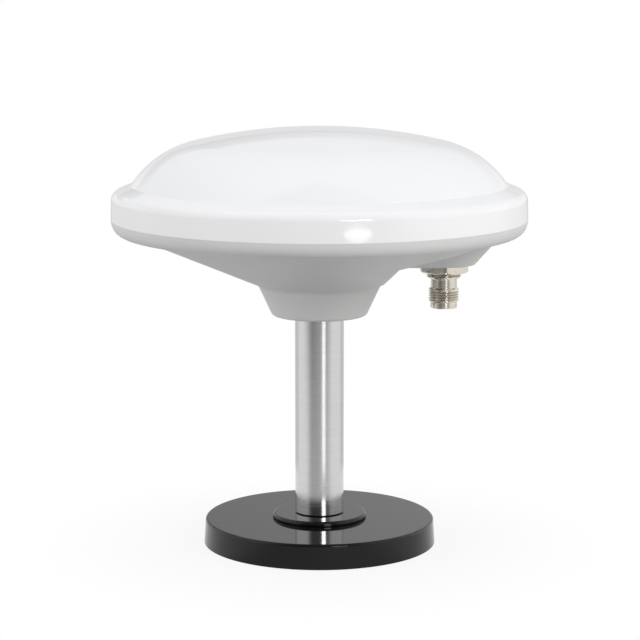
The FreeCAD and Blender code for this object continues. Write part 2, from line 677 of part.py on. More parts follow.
def scoop_cutter(label, wall):
    """What the scoop takes away, grown by a wall. Its axis lies behind the head's axis."""
    body = new_body(label, x="-scoop_shift")
    steep = f"({wall} / sin(scoop_wall_angle))"
    shallow = f"({wall} * sqrt(1 + {SCOOP_SLOPE}^2))"
    # The grown steep and shallow lines meet this far inside the bend.
    back = f"(({steep} * tan(scoop_wall_angle) - {shallow}) / (tan(scoop_wall_angle) - {SCOOP_SLOPE}))"
    foot = f"(scoop_shift + {SCOOP_FOOT_R})"
    bend = f"(scoop_shift + {SCOOP_BEND_R})"
    end = f"(scoop_shift + {FUNNEL_R})"
    roof = f"({LIP_H} - scoop_drop + {shallow})"
    turn_profile(body, [
        Corner(f"{foot} - {steep}", SCOOP_FOOT_H),
        Corner(end, SCOOP_FOOT_H),
        Corner(end, roof),
        Corner(f"{bend} - {back}", f"{SCOOP_BEND_H} + {shallow} - {back} * {SCOOP_SLOPE}"),
    ])
    return body


def pad_block():
    """The tapered block of the jack's pad: a half round end and straight sides, wider upwards."""
    block = new_body("pad_block")
    sketch = new_sketch(block, "XY_Plane", PAD_H)
    root = f"{SCOOP_BEND_R} - pad_root"
    draw_outline(sketch, [
        Corner(root, "pad_r"),
        Corner(JACK_X, "pad_r", arc="pad_r"),
        Corner(f"{JACK_X} + pad_r", "0", arc="pad_r"),
        Corner(JACK_X, "-pad_r"),
        Corner(root, "-pad_r"),
    ])
    feature = pad(block, sketch, f"{FUNNEL_H} - {PAD_H}")
    drive(feature, "TaperAngle", "pad_draft")
    doc.recompute()
    rounding = block.newObject("PartDesign::Fillet", "pad_block_round")
    rounding.Base = (feature, edges_at_height(feature.Shape, value(PAD_H)))
    drive(rounding, "Radius", "pad_round")
    doc.recompute()
    return block


def housing_outside():
    """The housing's outer form: rim, lip, funnel and boss, the scoop and the jack's pad."""
    groove_floor = f"({SPIGOT_R} - seal_groove_depth)"
    groove_low = f"{SEAM_H} + seal_groove_h"
    outer = new_body("housing_outer")
    turn_profile(outer, [
        Corner("0", "0"),
        Corner("boss_r", "0", "boss_round"),
        Corner(KNUCKLE_R, "knuckle_h", "knuckle_round"),
        Corner(FUNNEL_R, FUNNEL_H),
        Corner(LIP_R, LIP_H),
        Corner(RIM_R, RIM_H, "rim_round"),
        Corner("head_r", SEAM_H),
        Corner(SPIGOT_R, SEAM_H),
        Corner(SPIGOT_R, groove_low),
        Corner(groove_floor, groove_low),
        Corner(groove_floor, f"{groove_low} + seal_groove_w"),
        Corner(SPIGOT_R, f"{groove_low} + seal_groove_w"),
        Corner(SPIGOT_R, f"{SEAM_H} + spigot_h"),
        Corner("0", f"{SEAM_H} + spigot_h"),
    ])
    scooped = boolean("Cut", "housing_scooped", [outer, scoop_cutter("scoop_tool", "0")])
    return boolean("MultiFuse", "housing_outside", [scooped, pad_block()])


def housing_cavity():
    """The space inside the housing: the funnel's inner side, the hub left standing, the jack's seat."""
    floor_h = f"(knuckle_h + {FUNNEL_WALL} + floor_lift)"
    floor_r = f"({KNUCKLE_R} + floor_lift / {FUNNEL_SLOPE})"
    rim_floor_h = f"knuckle_h + {FUNNEL_WALL} + ({INNER_RIM_R} - {KNUCKLE_R}) * {FUNNEL_SLOPE}"
    roof_h = f"({FUNNEL_H} + housing_t)"
    seat_h = f"({PAD_H} + pad_t)"
    inner = new_body("housing_inner")
    turn_profile(inner, [
        Corner("0", "hub_h"),
        Corner("hub_r", "hub_h"),
        Corner("hub_r", floor_h),
        Corner(floor_r, floor_h),
        Corner(INNER_RIM_R, rim_floor_h),
        Corner(INNER_RIM_R, f"{SEAM_H} + spigot_h"),
        Corner("0", f"{SEAM_H} + spigot_h"),
    ])
    kept = boolean("Cut", "cavity_over_scoop", [inner, scoop_cutter("scoop_wall", "housing_t")])
    seat = new_body("jack_seat", x=JACK_X)
    turn_profile(seat, [
        Corner("0", seat_h),
        Corner("seat_r", seat_h),
        Corner(f"seat_r + ({roof_h} - {seat_h}) * tan(pad_draft)", roof_h),
        Corner("0", roof_h),
    ])
    reach = disc("rim_inside", INNER_RIM_R, roof_h, "0")
    inside = boolean("MultiCommon", "jack_seat_inside", [seat, reach])
    return boolean("MultiFuse", "housing_cavity", [kept, inside])


def standoffs():
    """Six standoffs under the board, rooted halfway into the funnel's wall."""
    root = f"(knuckle_h + ({SCREW_RING} - {KNUCKLE_R}) * {FUNNEL_SLOPE} + {FUNNEL_WALL} / 2)"
    body = new_body("housing_standoffs", turn="board_screw_turn")
    first = turn_profile(body, [
        Corner(SCREW_RING, root),
        Corner(f"{SCREW_RING} + standoff_r", root),
        Corner(f"{SCREW_RING} + standoff_r", BOARD_H),
        Corner(SCREW_RING, BOARD_H),
    ], about=SCREW_RING)
    pattern(body, [first], "board_screw_count")
    return body


def housing_holes():
    """The insert's bore and hexagonal pocket, the jack's hole and the standoffs' pilot holes."""
    bore = new_body("insert_hole")
    turn_profile(bore, [
        Corner("0", "0"),
        Corner("insert_r + mould_gap", "0"),
        Corner("insert_r + mould_gap", "hub_h"),
        Corner("0", "hub_h"),
    ])
    flange = new_sketch(bore, "XY_Plane", "insert_length - insert_flange_t")
    draw_outline(flange, hexagon("(insert_flange_af + 2 * mould_gap)"))
    pad(bore, flange, "hub_h - insert_length + insert_flange_t")
    jack = disc("jack_hole", "barrel_r + jack_hole_gap", "pad_t", PAD_H, x=JACK_X)
    pilot_r = f"{SCREW_RING} + board_screw_r + mould_gap"
    pilot = ring_of("pilot_holes", [
        Corner(SCREW_RING, "0"),
        Corner(pilot_r, "0"),
        Corner(pilot_r, "board_screw_length"),
        Corner(SCREW_RING, "board_screw_length"),
    ], SCREW_RING, "board_screw_count", f"{BOARD_H} - board_screw_length", "board_screw_turn")
    return boolean("MultiFuse", "housing_holes", [bore, jack, pilot])


def make_housing():
    """The moulded lower housing, and the threaded insert in its hub."""
    shell = boolean("Cut", "housing_shell", [housing_outside(), housing_cavity()])
    built = boolean("MultiFuse", "housing_built", [shell, standoffs()])
    housing = boolean("Cut", "lower_housing", [built, housing_holes()])
    place(housing, z=POLE_TOP)

    insert = new_body("threaded_insert", z=POLE_TOP)
    bore_r = "stud_r + thread_gap"
    turn_profile(insert, [
        Corner(bore_r, "0"),
        Corner("insert_r", "0"),
        Corner("insert_r", "insert_length"),
        Corner("0", "insert_length"),
        Corner("0", "insert_bore_depth"),
        Corner(bore_r, "insert_bore_depth"),
    ])
    sketch = new_sketch(insert, "XY_Plane", "insert_length - insert_flange_t")
    draw_outline(sketch, hexagon("insert_flange_af"))
    pad(insert, sketch, "insert_flange_t")


def rectangle(half_length, half_width, rounding):
    """The four rounded corners of a rectangle around the sketch's origin."""
    return [
        Corner(f"-({half_length})", f"-({half_width})", rounding),
        Corner(half_length, f"-({half_width})", rounding),
        Corner(half_length, half_width, rounding),
        Corner(f"-({half_length})", half_width, rounding),
    ]


def drill_for_patches(body, depth, feed_hole):
    """The holes that a plate needs for the plate screws and the upper patch's feed pins."""
    drill(body, depth, "plate_screw_r + screw_hole_gap", "spacer_ring", "spacer_count", "spacer_turn")
    drill(body, depth, feed_hole, "feed_ring", "feed_count")


def make_board():
    """The round board, its screws, and the shield can under it."""
    board = disc("circuit_board", BOARD_R, "board_t", BOARD_Z)
    screw_hole = "board_screw_r + screw_hole_gap"
    drill(board, "board_t", screw_hole, SCREW_RING, "board_screw_count", "board_screw_turn")
    drill_for_patches(board, "board_t", "feed_r + mould_gap")
    drill(board, "board_t", "feed_r + mould_gap", "low_feed_ring", "feed_count", "spacer_turn")

    screw = screw_outline(SCREW_RING, "board_screw", "board_screw_length + board_t")
    ring_of("board_screws", screw, SCREW_RING, "board_screw_count", BOARD_TOP, "board_screw_turn")

    can = new_body("lna_shield_can", x="-can_shift", z=f"{BOARD_Z} - can_depth")
    outside = new_sketch(can, "XY_Plane")
    draw_outline(outside, rectangle("can_length / 2", "can_width / 2", "can_round"))
    pad(can, outside, "can_depth")
    inside = new_sketch(can, "XY_Plane", "can_depth")
    draw_outline(inside, rectangle("can_length / 2 - can_t", "can_width / 2 - can_t", "can_round - can_t"))
    pocket(can, inside, "can_depth - can_t")


def make_patches():
    """The two round patches over the board, with their spacers, screws, post and feed pins."""
    lower = disc("lower_patch_plate", "lower_plate_r", "patch_t", LOWER_PATCH, "post_neck_r + mould_gap")
    drill_for_patches(lower, "patch_t", "feed_clear_r")
    drill(lower, "patch_t", "feed_r + mould_gap", "low_feed_ring", "feed_count", "spacer_turn")
    screw_hole = "centre_screw_r + screw_hole_gap"
    upper = disc("upper_patch_plate", "upper_plate_r", "patch_t", UPPER_PATCH, screw_hole)
    drill_for_patches(upper, "patch_t", "feed_r + mould_gap")

    for label, gap, z in (
        ("lower_spacers", "lower_gap", BOARD_TOP),
        ("upper_spacers", "upper_gap", LOWER_TOP),
    ):
        inner = "spacer_ring + plate_screw_r + screw_hole_gap"
        outer = "spacer_ring + spacer_r"
        spacer = [Corner(inner, "0"), Corner(outer, "0"), Corner(outer, gap), Corner(inner, gap)]
        ring_of(label, spacer, "spacer_ring", "spacer_count", z, "spacer_turn")

    stack = "(board_t + lower_gap + upper_gap + 2 * patch_t)"
    screw = screw_outline("spacer_ring", "plate_screw", f"{stack} + plate_nut_t + plate_screw_end")
    ring_of("plate_screws", screw, "spacer_ring", "spacer_count", UPPER_TOP, "spacer_turn")
    nut = [
        Corner("spacer_ring + plate_screw_r + mould_gap", "-plate_nut_t"),
        Corner("spacer_ring + plate_nut_r", "-plate_nut_t"),
        Corner("spacer_ring + plate_nut_r", "0"),
        Corner("spacer_ring + plate_screw_r + mould_gap", "0"),
    ]
    ring_of("plate_nuts", nut, "spacer_ring", "spacer_count", BOARD_Z, "spacer_turn")

    post = new_body("centre_post", z=BOARD_TOP)
    top = "lower_gap + patch_t + upper_gap"
    turn_profile(post, [
        Corner("0", "0"),
        Corner("post_r", "0"),
        Corner("post_r", "lower_gap"),
        Corner("post_neck_r", "lower_gap"),
        Corner("post_neck_r", top),
        Corner("centre_screw_r + mould_gap", top),
        Corner("centre_screw_r + mould_gap", f"{top} - post_bore_depth"),
        Corner("0", f"{top} - post_bore_depth"),
    ])
    screw = new_body("centre_screw", z=UPPER_TOP)
    turn_profile(screw, screw_outline("0", "centre_screw", "centre_screw_length"))

    pins = new_body("feed_pins", z=f"{BOARD_Z} - feed_tail")
    below = "board_t + lower_gap + patch_t + 2 * feed_tail"
    for ring, turn, length in (
        ("feed_ring", "0", f"{below} + upper_gap + patch_t"),
        ("low_feed_ring", "spacer_turn", below),
    ):
        sketch = new_sketch(pins, "XY_Plane")
        draw_circle(sketch, "feed_r", *around(ring, turn))
        pattern(pins, [pad(pins, sketch, length)], "feed_count")


def make_jack():
    """The coaxial jack in its pad: body, nut, seal, insulator, contact and the lead to the board."""
    coupling_h = "-(barrel_length + neck_length)"
    tip_h = f"({coupling_h} - coupling_length)"
    face_h = f"({tip_h} - tip_length)"
    shelf_h = f"{face_h} + jack_bore_depth"
    flange_h = "(pad_t + flange_t)"
    tail_h = f"({flange_h} + tail_length)"
    groove_w = "(jack_seal_section_r + 2 * mould_gap)"
    groove_h = "(pad_t + 2 * jack_seal_section_r)"
    core_hole = "core_r + mould_gap"
    body = new_body("connector_body", JACK_X, JACK_SEAT)
    turn_profile(body, [
        Corner("jack_bore_r", face_h),
        Corner("tip_r - tip_chamfer", face_h),
        Corner("tip_r", f"{face_h} + tip_chamfer"),
        Corner("tip_r", tip_h),
        Corner("coupling_r - coupling_chamfer", tip_h),
        Corner("coupling_r", f"{tip_h} + coupling_chamfer"),
        Corner("coupling_r", f"{coupling_h} - coupling_chamfer"),
        Corner("coupling_r - coupling_chamfer", coupling_h),
        Corner("neck_r", coupling_h),
        Corner("neck_r", "-barrel_length"),
        Corner("barrel_r - barrel_chamfer", "-barrel_length"),
        Corner("barrel_r", "barrel_chamfer - barrel_length"),
        Corner("barrel_r", "pad_t"),
        Corner(f"jack_seal_r - {groove_w}", "pad_t"),
        Corner(f"jack_seal_r - {groove_w}", groove_h),
        Corner(f"jack_seal_r + {groove_w}", groove_h),
        Corner(f"jack_seal_r + {groove_w}", "pad_t"),
        Corner("flange_r", "pad_t"),
        Corner("flange_r", flange_h),
        Corner("tail_r", flange_h),
        Corner("tail_r", tail_h),
        Corner(core_hole, tail_h),
        Corner(core_hole, shelf_h),
        Corner("jack_bore_r", shelf_h),
    ])

    nut = new_body("connector_nut", JACK_X, f"{JACK_SEAT} - nut_t", "nut_turn")
    flats = new_sketch(nut, "XY_Plane")
    draw_outline(flats, hexagon("nut_af"))
    draw_circle(flats, "barrel_r + mould_gap")
    pad(nut, flats, "nut_t")
    beyond = "nut_af * (2 / sqrt(3) - 1 / 2)"
    turn_profile(nut, [
        Corner("nut_af / 2", "0"),
        Corner(beyond, "0"),
        Corner(beyond, "2 * nut_bevel"),
    ], cut=True)

    seal_h = f"{JACK_SEAT} + pad_t + jack_seal_section_r"
    seal_ring("connector_seal", "jack_seal_r", "jack_seal_section_r", JACK_X, seal_h)

    insulator = new_body("connector_insulator", JACK_X, JACK_SEAT)
    nose_h = f"({shelf_h} - nose_length)"
    contact_hole = "contact_r + mould_gap"
    turn_profile(insulator, [
        Corner(contact_hole, nose_h),
        Corner("nose_r", nose_h),
        Corner("nose_r", shelf_h),
        Corner("core_r", shelf_h),
        Corner("core_r", tail_h),
        Corner(contact_hole, tail_h),
    ])

    contact = new_body("connector_contact", JACK_X, JACK_SEAT)
    mouth_h = f"({nose_h} + contact_inset)"
    turn_profile(contact, [
        Corner("contact_hole_r", mouth_h),
        Corner("contact_r", mouth_h),
        Corner("contact_r", f"{tail_h} + contact_inset"),
        Corner("0", f"{tail_h} + contact_inset"),
        Corner("0", f"{mouth_h} + contact_hole_depth"),
        Corner("contact_hole_r", f"{mouth_h} + contact_hole_depth"),
    ])

    start = f"({tail_h} + contact_inset)"
    lead = new_body("inner_coax_lead", JACK_X, f"{JACK_SEAT} + {start}")
    top = f"({BOARD_H} - {PAD_H} - {start})"
    path = new_sketch(lead)
    draw_outline(path, [
        Corner("0", "0"),
        Corner("0", "lead_rise", "lead_bend"),
        Corner("-lead_reach", "lead_rise", "lead_bend"),
        Corner("-lead_reach", top),
    ], closed=False)
    section = new_sketch(lead, "XY_Plane")
    draw_circle(section, "lead_r")
    doc.recompute()
    pipe = lead.newObject("PartDesign::AdditivePipe", "inner_coax_lead_pipe")
    pipe.Profile = section
    pipe.Spine = path
    doc.recompute()


make_foot()
make_centre_bolt()
make_pole()
make_radome()
make_housing()
make_board()
make_patches()
make_jack()
doc.recompute()

NODES = [
    "radome", "lower_housing", "connector_body", "connector_nut", "radome_seal", "threaded_insert",
    "circuit_board", "board_screws", "lna_shield_can", "lower_patch_plate", "lower_spacers",
    "upper_patch_plate", "upper_spacers", "plate_screws", "plate_nuts", "centre_post", "centre_screw",
    "feed_pins", "inner_coax_lead", "connector_insulator", "connector_contact", "connector_seal",
    "pole_tube", "foot_collar", "base_cover", "pole_top_stud", "pole_foot_plug", "backing_plate",
    "magnet_tray", "magnet_discs", "tray_screws", "base_pad", "centre_bolt",
]

for item in doc.Objects:
    if {"Invalid", "Error"} & set(item.State):
        raise RuntimeError(f"{item.Label}: {item.State}")
pieces = {label: doc.getObjectsByLabel(label)[0] for label in NODES}
for label, item in pieces.items():
    if item.Shape.isNull() or not item.Shape.isValid():
        raise RuntimeError(f"{label} has no valid shape")

os.makedirs("parts", exist_ok=True)
for label, item in pieces.items():
    item.Shape.exportStep(f"parts/{label}.step")
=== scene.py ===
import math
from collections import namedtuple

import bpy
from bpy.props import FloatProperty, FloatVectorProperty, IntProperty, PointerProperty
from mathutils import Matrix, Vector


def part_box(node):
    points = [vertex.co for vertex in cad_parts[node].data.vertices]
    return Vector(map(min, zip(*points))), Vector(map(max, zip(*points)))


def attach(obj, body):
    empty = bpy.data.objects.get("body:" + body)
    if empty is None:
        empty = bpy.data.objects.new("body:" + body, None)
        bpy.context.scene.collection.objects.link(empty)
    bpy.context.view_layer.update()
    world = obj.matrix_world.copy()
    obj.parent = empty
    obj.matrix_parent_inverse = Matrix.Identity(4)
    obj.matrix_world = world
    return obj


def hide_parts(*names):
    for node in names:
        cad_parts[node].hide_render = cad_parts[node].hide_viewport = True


bl_info = {
    "name": "Positioning antenna",
    "version": (1, 0, 0),
    "blender": (4, 5, 0),
    "location": "3D View > Sidebar > Antenna",
    "description": "Finishes and fine threads for a domed positioning antenna on a magnetic foot",
    "category": "Object",
}

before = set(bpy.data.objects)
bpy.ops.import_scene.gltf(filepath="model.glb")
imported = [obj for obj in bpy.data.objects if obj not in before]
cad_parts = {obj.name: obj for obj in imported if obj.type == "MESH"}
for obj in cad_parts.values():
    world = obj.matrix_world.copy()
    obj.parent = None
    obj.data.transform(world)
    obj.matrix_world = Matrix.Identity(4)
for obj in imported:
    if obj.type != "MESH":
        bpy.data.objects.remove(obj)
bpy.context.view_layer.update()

MM = 0.001
JACK_LOW, JACK_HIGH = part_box("connector_body")
JACK_X = (JACK_LOW.x + JACK_HIGH.x) / 2
NUT_LOW, NUT_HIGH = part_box("connector_nut")
POLE_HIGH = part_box("pole_tube")[1].z
STUD_LOW, STUD_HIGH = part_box("pole_top_stud")
COLLAR_LOW, COLLAR_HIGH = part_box("foot_collar")
SEAM_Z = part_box("radome")[0].z
HEAD_CENTRE = Vector((0.0, 0.0, 0.12))

# Where the jack's threads are cut, in millimetres above its mouth.
COUPLING_ZONE = (2.6, 7.2)
MOUNTING_ZONE = (11.5, 18.9)

# The studio as the object mirrors it. A rise is in degrees above the horizon. A turn is in degrees from
# the camera's side: left of it below 0, right of it above 0, and 180 behind the object. Three numbers
# are the low end, the high end and how softly both fade; two are where a change begins and ends.
JACK_RISE = (-9.0, -7.4, 0.6)
JACK_TURN = 22.0  # how far the left side is turned where the jack mirrors it
JACK_SHADE = 0.06  # how much darker the near side is there
NEAR_FLOOR_RISE = (-11.8, -8.0)
RIGHT_GAP_RISE = (-9.4, -8.4)
FAR_SIDES_TURN, FAR_SIDES_RISE = (108.0, 128.0), (-4.0, 0.0)
SIDES_TURN, SIDES_RISE = (55.0, 125.0, 12.0), (3.0, 18.0, 3.0)
HALL_TURN, HALL_RISE = (138.0, 158.0), (2.5, 28.0, 3.0)
BACK_WALL_RISE = (11.8, 18.0, 2.2)
BACK_WALL_SLOPE = (-0.12, 0.12)  # sideways, as the sine of the angle from the middle
FAR_END_TURN, FAR_END_RISE = (158.0, 170.0), (-8.7, 11.5, 2.5)
LIGHT_LINE_TURN = (13.5, 27.5, 2.0)
POLE_LIGHT_RISE = (-16.0, -8.2, 0.6)
BAR_LIGHT_RISE = (13.0, 20.0, 2.0)
SOFTBOX_TURN, SOFTBOX_RISE = 20.3, -3.9
SOFTBOX_HALF_WIDTH, SOFTBOX_HALF_HEIGHT = 7.4, 2.2
SOFTBOX_EDGE = (0.75, 1.25)  # where its edge fades, in squares of its half sizes
LEFT_TURN, MIDDLE_TURN, RIGHT_TURN = (-66.0, -32.0), (-10.0, 12.0), (31.0, 66.0)
TENT_RISE, TENT_SLOPE_RISE = (-5.0, 5.0), (-45.0, -12.0)

# Finishes of the small and hidden pieces: two close colours, roughness, metallic, blotches and grains
# in a metre, the grain's depth in millimetres, and how the grain is stretched along the axes.
Finish = namedtuple(
    "Finish", "dark light roughness metallic blotch grain depth stretch",
    defaults=(0.0, 60.0, 1500.0, 0.02, (1.0, 1.0, 1.0)))
FINISHES = {
    "waxy_insulator": Finish((0.82, 0.82, 0.79), (0.88, 0.88, 0.86), 0.5, 0.0, 300.0, 2000.0, 0.006),
    "gilt": Finish((0.80, 0.56, 0.22), (0.90, 0.66, 0.28), 0.22, 1.0, 500.0, 2500.0, 0.004, (1.0, 1.0, 12.0)),
    "gilt_pins": Finish((0.78, 0.54, 0.22), (0.88, 0.64, 0.27), 0.24, 1.0, 400.0, 2500.0, 0.004),
    "black_rubber": Finish((0.020, 0.020, 0.020), (0.034, 0.033, 0.032), 0.75, 0.0, 120.0, 1800.0, 0.05),
    "seal_rubber": Finish((0.018, 0.018, 0.018), (0.03, 0.03, 0.03), 0.6, 0.0, 300.0, 2500.0, 0.01),
    "zinc_plate": Finish((0.56, 0.58, 0.62), (0.68, 0.69, 0.71), 0.36, 1.0, 180.0, 900.0, 0.01),
    "magnet_plate": Finish((0.60, 0.60, 0.60), (0.74, 0.73, 0.71), 0.2, 1.0, 200.0),
    "tray_black": Finish((0.022, 0.022, 0.024), (0.036, 0.036, 0.038), 0.5, grain=2200.0),
    "natural_nylon": Finish((0.74, 0.70, 0.60), (0.82, 0.79, 0.70), 0.45, 0.0, 200.0, 1500.0, 0.01),
    "screw_steel": Finish((0.55, 0.57, 0.61), (0.66, 0.67, 0.70), 0.34, 1.0, 300.0, 1500.0, 0.006),
    "insert_brass": Finish((0.62, 0.45, 0.20), (0.74, 0.56, 0.28), 0.3, 1.0, 200.0, 1200.0, 0.008),
    "rolled_sheet": Finish(
        (0.72, 0.72, 0.73), (0.82, 0.82, 0.83), 0.32, 1.0, 60.0, 500.0, 0.006, (1.0, 14.0, 1.0)),
    "tinned_sheet": Finish((0.66, 0.66, 0.64), (0.78, 0.78, 0.76), 0.3, 1.0, 90.0, 700.0, 0.008),
    "lead_jacket": Finish((0.20, 0.085, 0.04), (0.27, 0.12, 0.06), 0.3, 0.0, 200.0, 1500.0, 0.01),
}


def length(name, description, default):
    """A length in metres that a user may change."""
    return FloatProperty(
        name=name, description=description, default=default, unit="LENGTH", precision=5)


def colour(name, description, default):
    """A linear colour that a user may change."""
    return FloatVectorProperty(
        name=name, description=description, default=default, subtype="COLOR", size=3, min=0, max=1)


def share(name, description, default):
    """A plain factor from 0 to 1."""
    return FloatProperty(
        name=name, description=description, default=default, subtype="FACTOR", min=0, max=1)


def degrees(name, description, default):
    """An angle, given here in degrees."""
    return FloatProperty(
        name=name, description=description, default=math.radians(default), subtype="ANGLE", unit="ROTATION")


def brightness(name, description, default):
    """A light's strength, where 1 is white."""
    return FloatProperty(name=name, description=description, default=default, min=0)


class HeadSettings(bpy.types.PropertyGroup):
    """Colours and gloss of the moulded head."""

    # The dome's white is set darker than the side wall's white: painted shade on the top of the radome.
    dome_shaded_colour: colour("Dome", "White of the radome's dome", (0.818, 0.823, 0.842))
    wall_colour: colour("Side wall", "White of the radome's side wall", (0.86, 0.848, 0.852))
    dome_roughness: share("Dome roughness", "How dull the radome's gloss is", 0.075)
    shell_colour: colour("Housing", "Grey of the lower housing", (0.642, 0.642, 0.637))
    shell_roughness: share("Housing roughness", "How dull the housing's satin is", 0.46)
    grain: length("Grain", "Size of the mould's fine texture on the housing", 0.35 * MM)


class JackSettings(bpy.types.PropertyGroup):
    """Sizes of the jack's threads and nut."""

    coupling_radius: length("Coupling thread", "Outer radius of the coupling thread", 5.55 * MM)
    coupling_pitch: length("Coupling pitch", "Pitch of the coupling thread", 0.907 * MM)
    mounting_radius: length("Mounting thread", "Outer radius of the mounting thread", 6.3 * MM)
    mounting_pitch: length("Mounting pitch", "Pitch of the mounting thread", 0.8 * MM)
    thread_depth: length("Thread depth", "Depth of both threads", 0.5 * MM)
    nut_flats: length("Nut", "Width of the nut across its flats", 17 * MM)
    nut_turn: degrees("Nut turn", "How far the nut is turned", 31.9)
    nut_corner_cut: length("Nut corners", "How far the nut's corners are turned off", 0.22 * MM)
    plating: colour("Plating", "Colour of the jack's bright plating", (0.71, 0.665, 0.585))


class StandSettings(bpy.types.PropertyGroup):
    """Finishes of the pole and the foot."""

    steel: colour("Pole", "Colour of the polished steel", (0.64, 0.64, 0.645))
    steel_roughness: share("Pole roughness", "How dull the polish is", 0.14)
    stud_radius: length("Stud thread", "Outer radius of the thread in the head", 7.94 * MM)
    stud_pitch: length("Stud pitch", "Pitch of the thread in the head", 2.309 * MM)
    collar_roll: length("Collar roll", "Radius of the collar's rounded edge", 1.05 * MM)
    collar_swell: length("Collar swell", "How far the rounded edge stands out of the plain collar", 0.3 * MM)
    collar_bore: length("Collar bore", "Radius of the collar's bore for the bolt", 4.3 * MM)
    gloss_black: colour("Foot", "Black of the foot's cup and collar", (0.005, 0.005, 0.006))
    columns: IntProperty(
        name="Columns", description="Columns of faces round a threaded piece", default=144, min=24, max=360)


class StudioSettings(bpy.types.PropertyGroup):
    """Camera, lights and floor."""

    lens: FloatProperty(
        name="Lens", description="Focal length in millimetres", default=128.0, unit="CAMERA")
    camera_back: length("Camera distance", "How far the camera stands in front", 0.8268)
    camera_height: length("Camera height", "How high the camera stands", 0.2185)
    camera_side: length("Camera side", "How far right of the middle the camera stands", 0.0002)
    camera_pitch: degrees("Camera pitch", "How far the camera looks down", 9.28)
    floor_radius: length("Floor", "Radius of the pale floor", 0.125)
    fill: share("Tent", "Brightness of the pale tent above the horizon", 0.60)
    fill_below: share("Tent, below", "Brightness of the pale tent below the horizon", 0.505)
    fill_slope: share("Tent, right", "How much brighter the tent is at the right below the horizon", 0.38)
    near: share("Near side", "Brightness of the camera's side of the studio in the metal", 0.16)
    near_floor: share("Near side, low", "How much brighter the camera's side is near the floor", 0.42)
    right_side: share("Right of the camera", "Brightness right of the camera in the metal", 0.70)
    right_gap: share("Right gap", "How much darker it is there above what the pole mirrors", 0.4)
    side_glow: share("Sides", "How much brighter both sides are just above the horizon", 0.35)
    hall_shade: share("Hall", "How dark the whole back of the studio is above the horizon", 0.05)
    edge_shade: share("Far sides", "How dark the far sides are below the horizon", 0.24)
    pole_light: brightness("Pole light", "Brightness of the light line in the pole", 0.85)
    softbox: brightness("Softbox", "Brightness of the small light in the gloss", 5.5)
    bar_light: brightness("Bar light", "Brightness of the light bar in the edges", 11.0)
    outline_shade: share("Far end", "How dark the far end is behind the dome's outline", 0.22)
    back_shade: share("Back wall", "How dark the wall behind is as the foot shows it", 0.24)
    back_slope: share("Back wall, right", "How much brighter the wall behind is at the right", 0.2)


class Wire:
    """A number that a node tree works out, so that maths on it reads as plain Python."""

    def __init__(self, tree, socket):
        self.tree = tree
        self.socket = socket

    def _maths(self, operation, *values, clamp=False):
        node = self.tree.nodes.new("ShaderNodeMath")
        node.operation = operation
        node.use_clamp = clamp
        for slot, given in zip(node.inputs, values):
            connect(self.tree, slot, given)
        return Wire(self.tree, node.outputs[0])

    def __add__(self, other):
        return self._maths("ADD", self, other)

    __radd__ = __add__

    def __sub__(self, other):
        return self._maths("SUBTRACT", self, other)

    def __rsub__(self, other):
        return self._maths("SUBTRACT", other, self)

    def __mul__(self, other):
        return self._maths("MULTIPLY", self, other)

    __rmul__ = __mul__

    def __truediv__(self, other):
        return self._maths("DIVIDE", self, other)

    def __rtruediv__(self, other):
        return self._maths("DIVIDE", other, self)

    def __neg__(self):
        return self._maths("MULTIPLY", self, -1.0)

    def __abs__(self):
        return self._maths("ABSOLUTE", self)

    def __gt__(self, other):
        return self._maths("GREATER_THAN", self, other)

    def __lt__(self, other):
        return self._maths("LESS_THAN", self, other)

    def part(self):
        """What is left of the number after its whole part."""
        return self._maths("FRACT", self)

    def clamped(self):
        """The number, held between 0 and 1."""
        return self._maths("ADD", self, 0.0, clamp=True)

    def root(self):
        """The square root."""
        return self._maths("SQRT", self)

    def direction_of(self, other):
        """The angle of the point (other, self)."""
        return self._maths("ARCTAN2", self, other)

    def angle_of_sine(self):
        """The angle whose sine the number is."""
        return self._maths("ARCSINE", self)

    def band(self, low, high, soft):
        """1 between low and high, 0 further out than soft, and smooth between."""
        return self.ramp(low - soft, low) * (1 - self.ramp(high, high + soft))

    def ramp(self, low, high):
        """0 below low, 1 above high, and smooth between them."""
        node = self.tree.nodes.new("ShaderNodeMapRange")
        node.interpolation_type = "SMOOTHSTEP"
        for slot, given in zip(node.inputs, (self, low, high, 0.0, 1.0)):
            connect(self.tree, slot, given)
        return Wire(self.tree, node.outputs[0])


def connect(tree, slot, given):
    """Give a socket a value or a link."""
    if isinstance(given, Wire):
        tree.links.new(given.socket, slot)
    elif isinstance(given, bpy.types.NodeSocket):
        tree.links.new(given, slot)
    else:
        slot.default_value = given


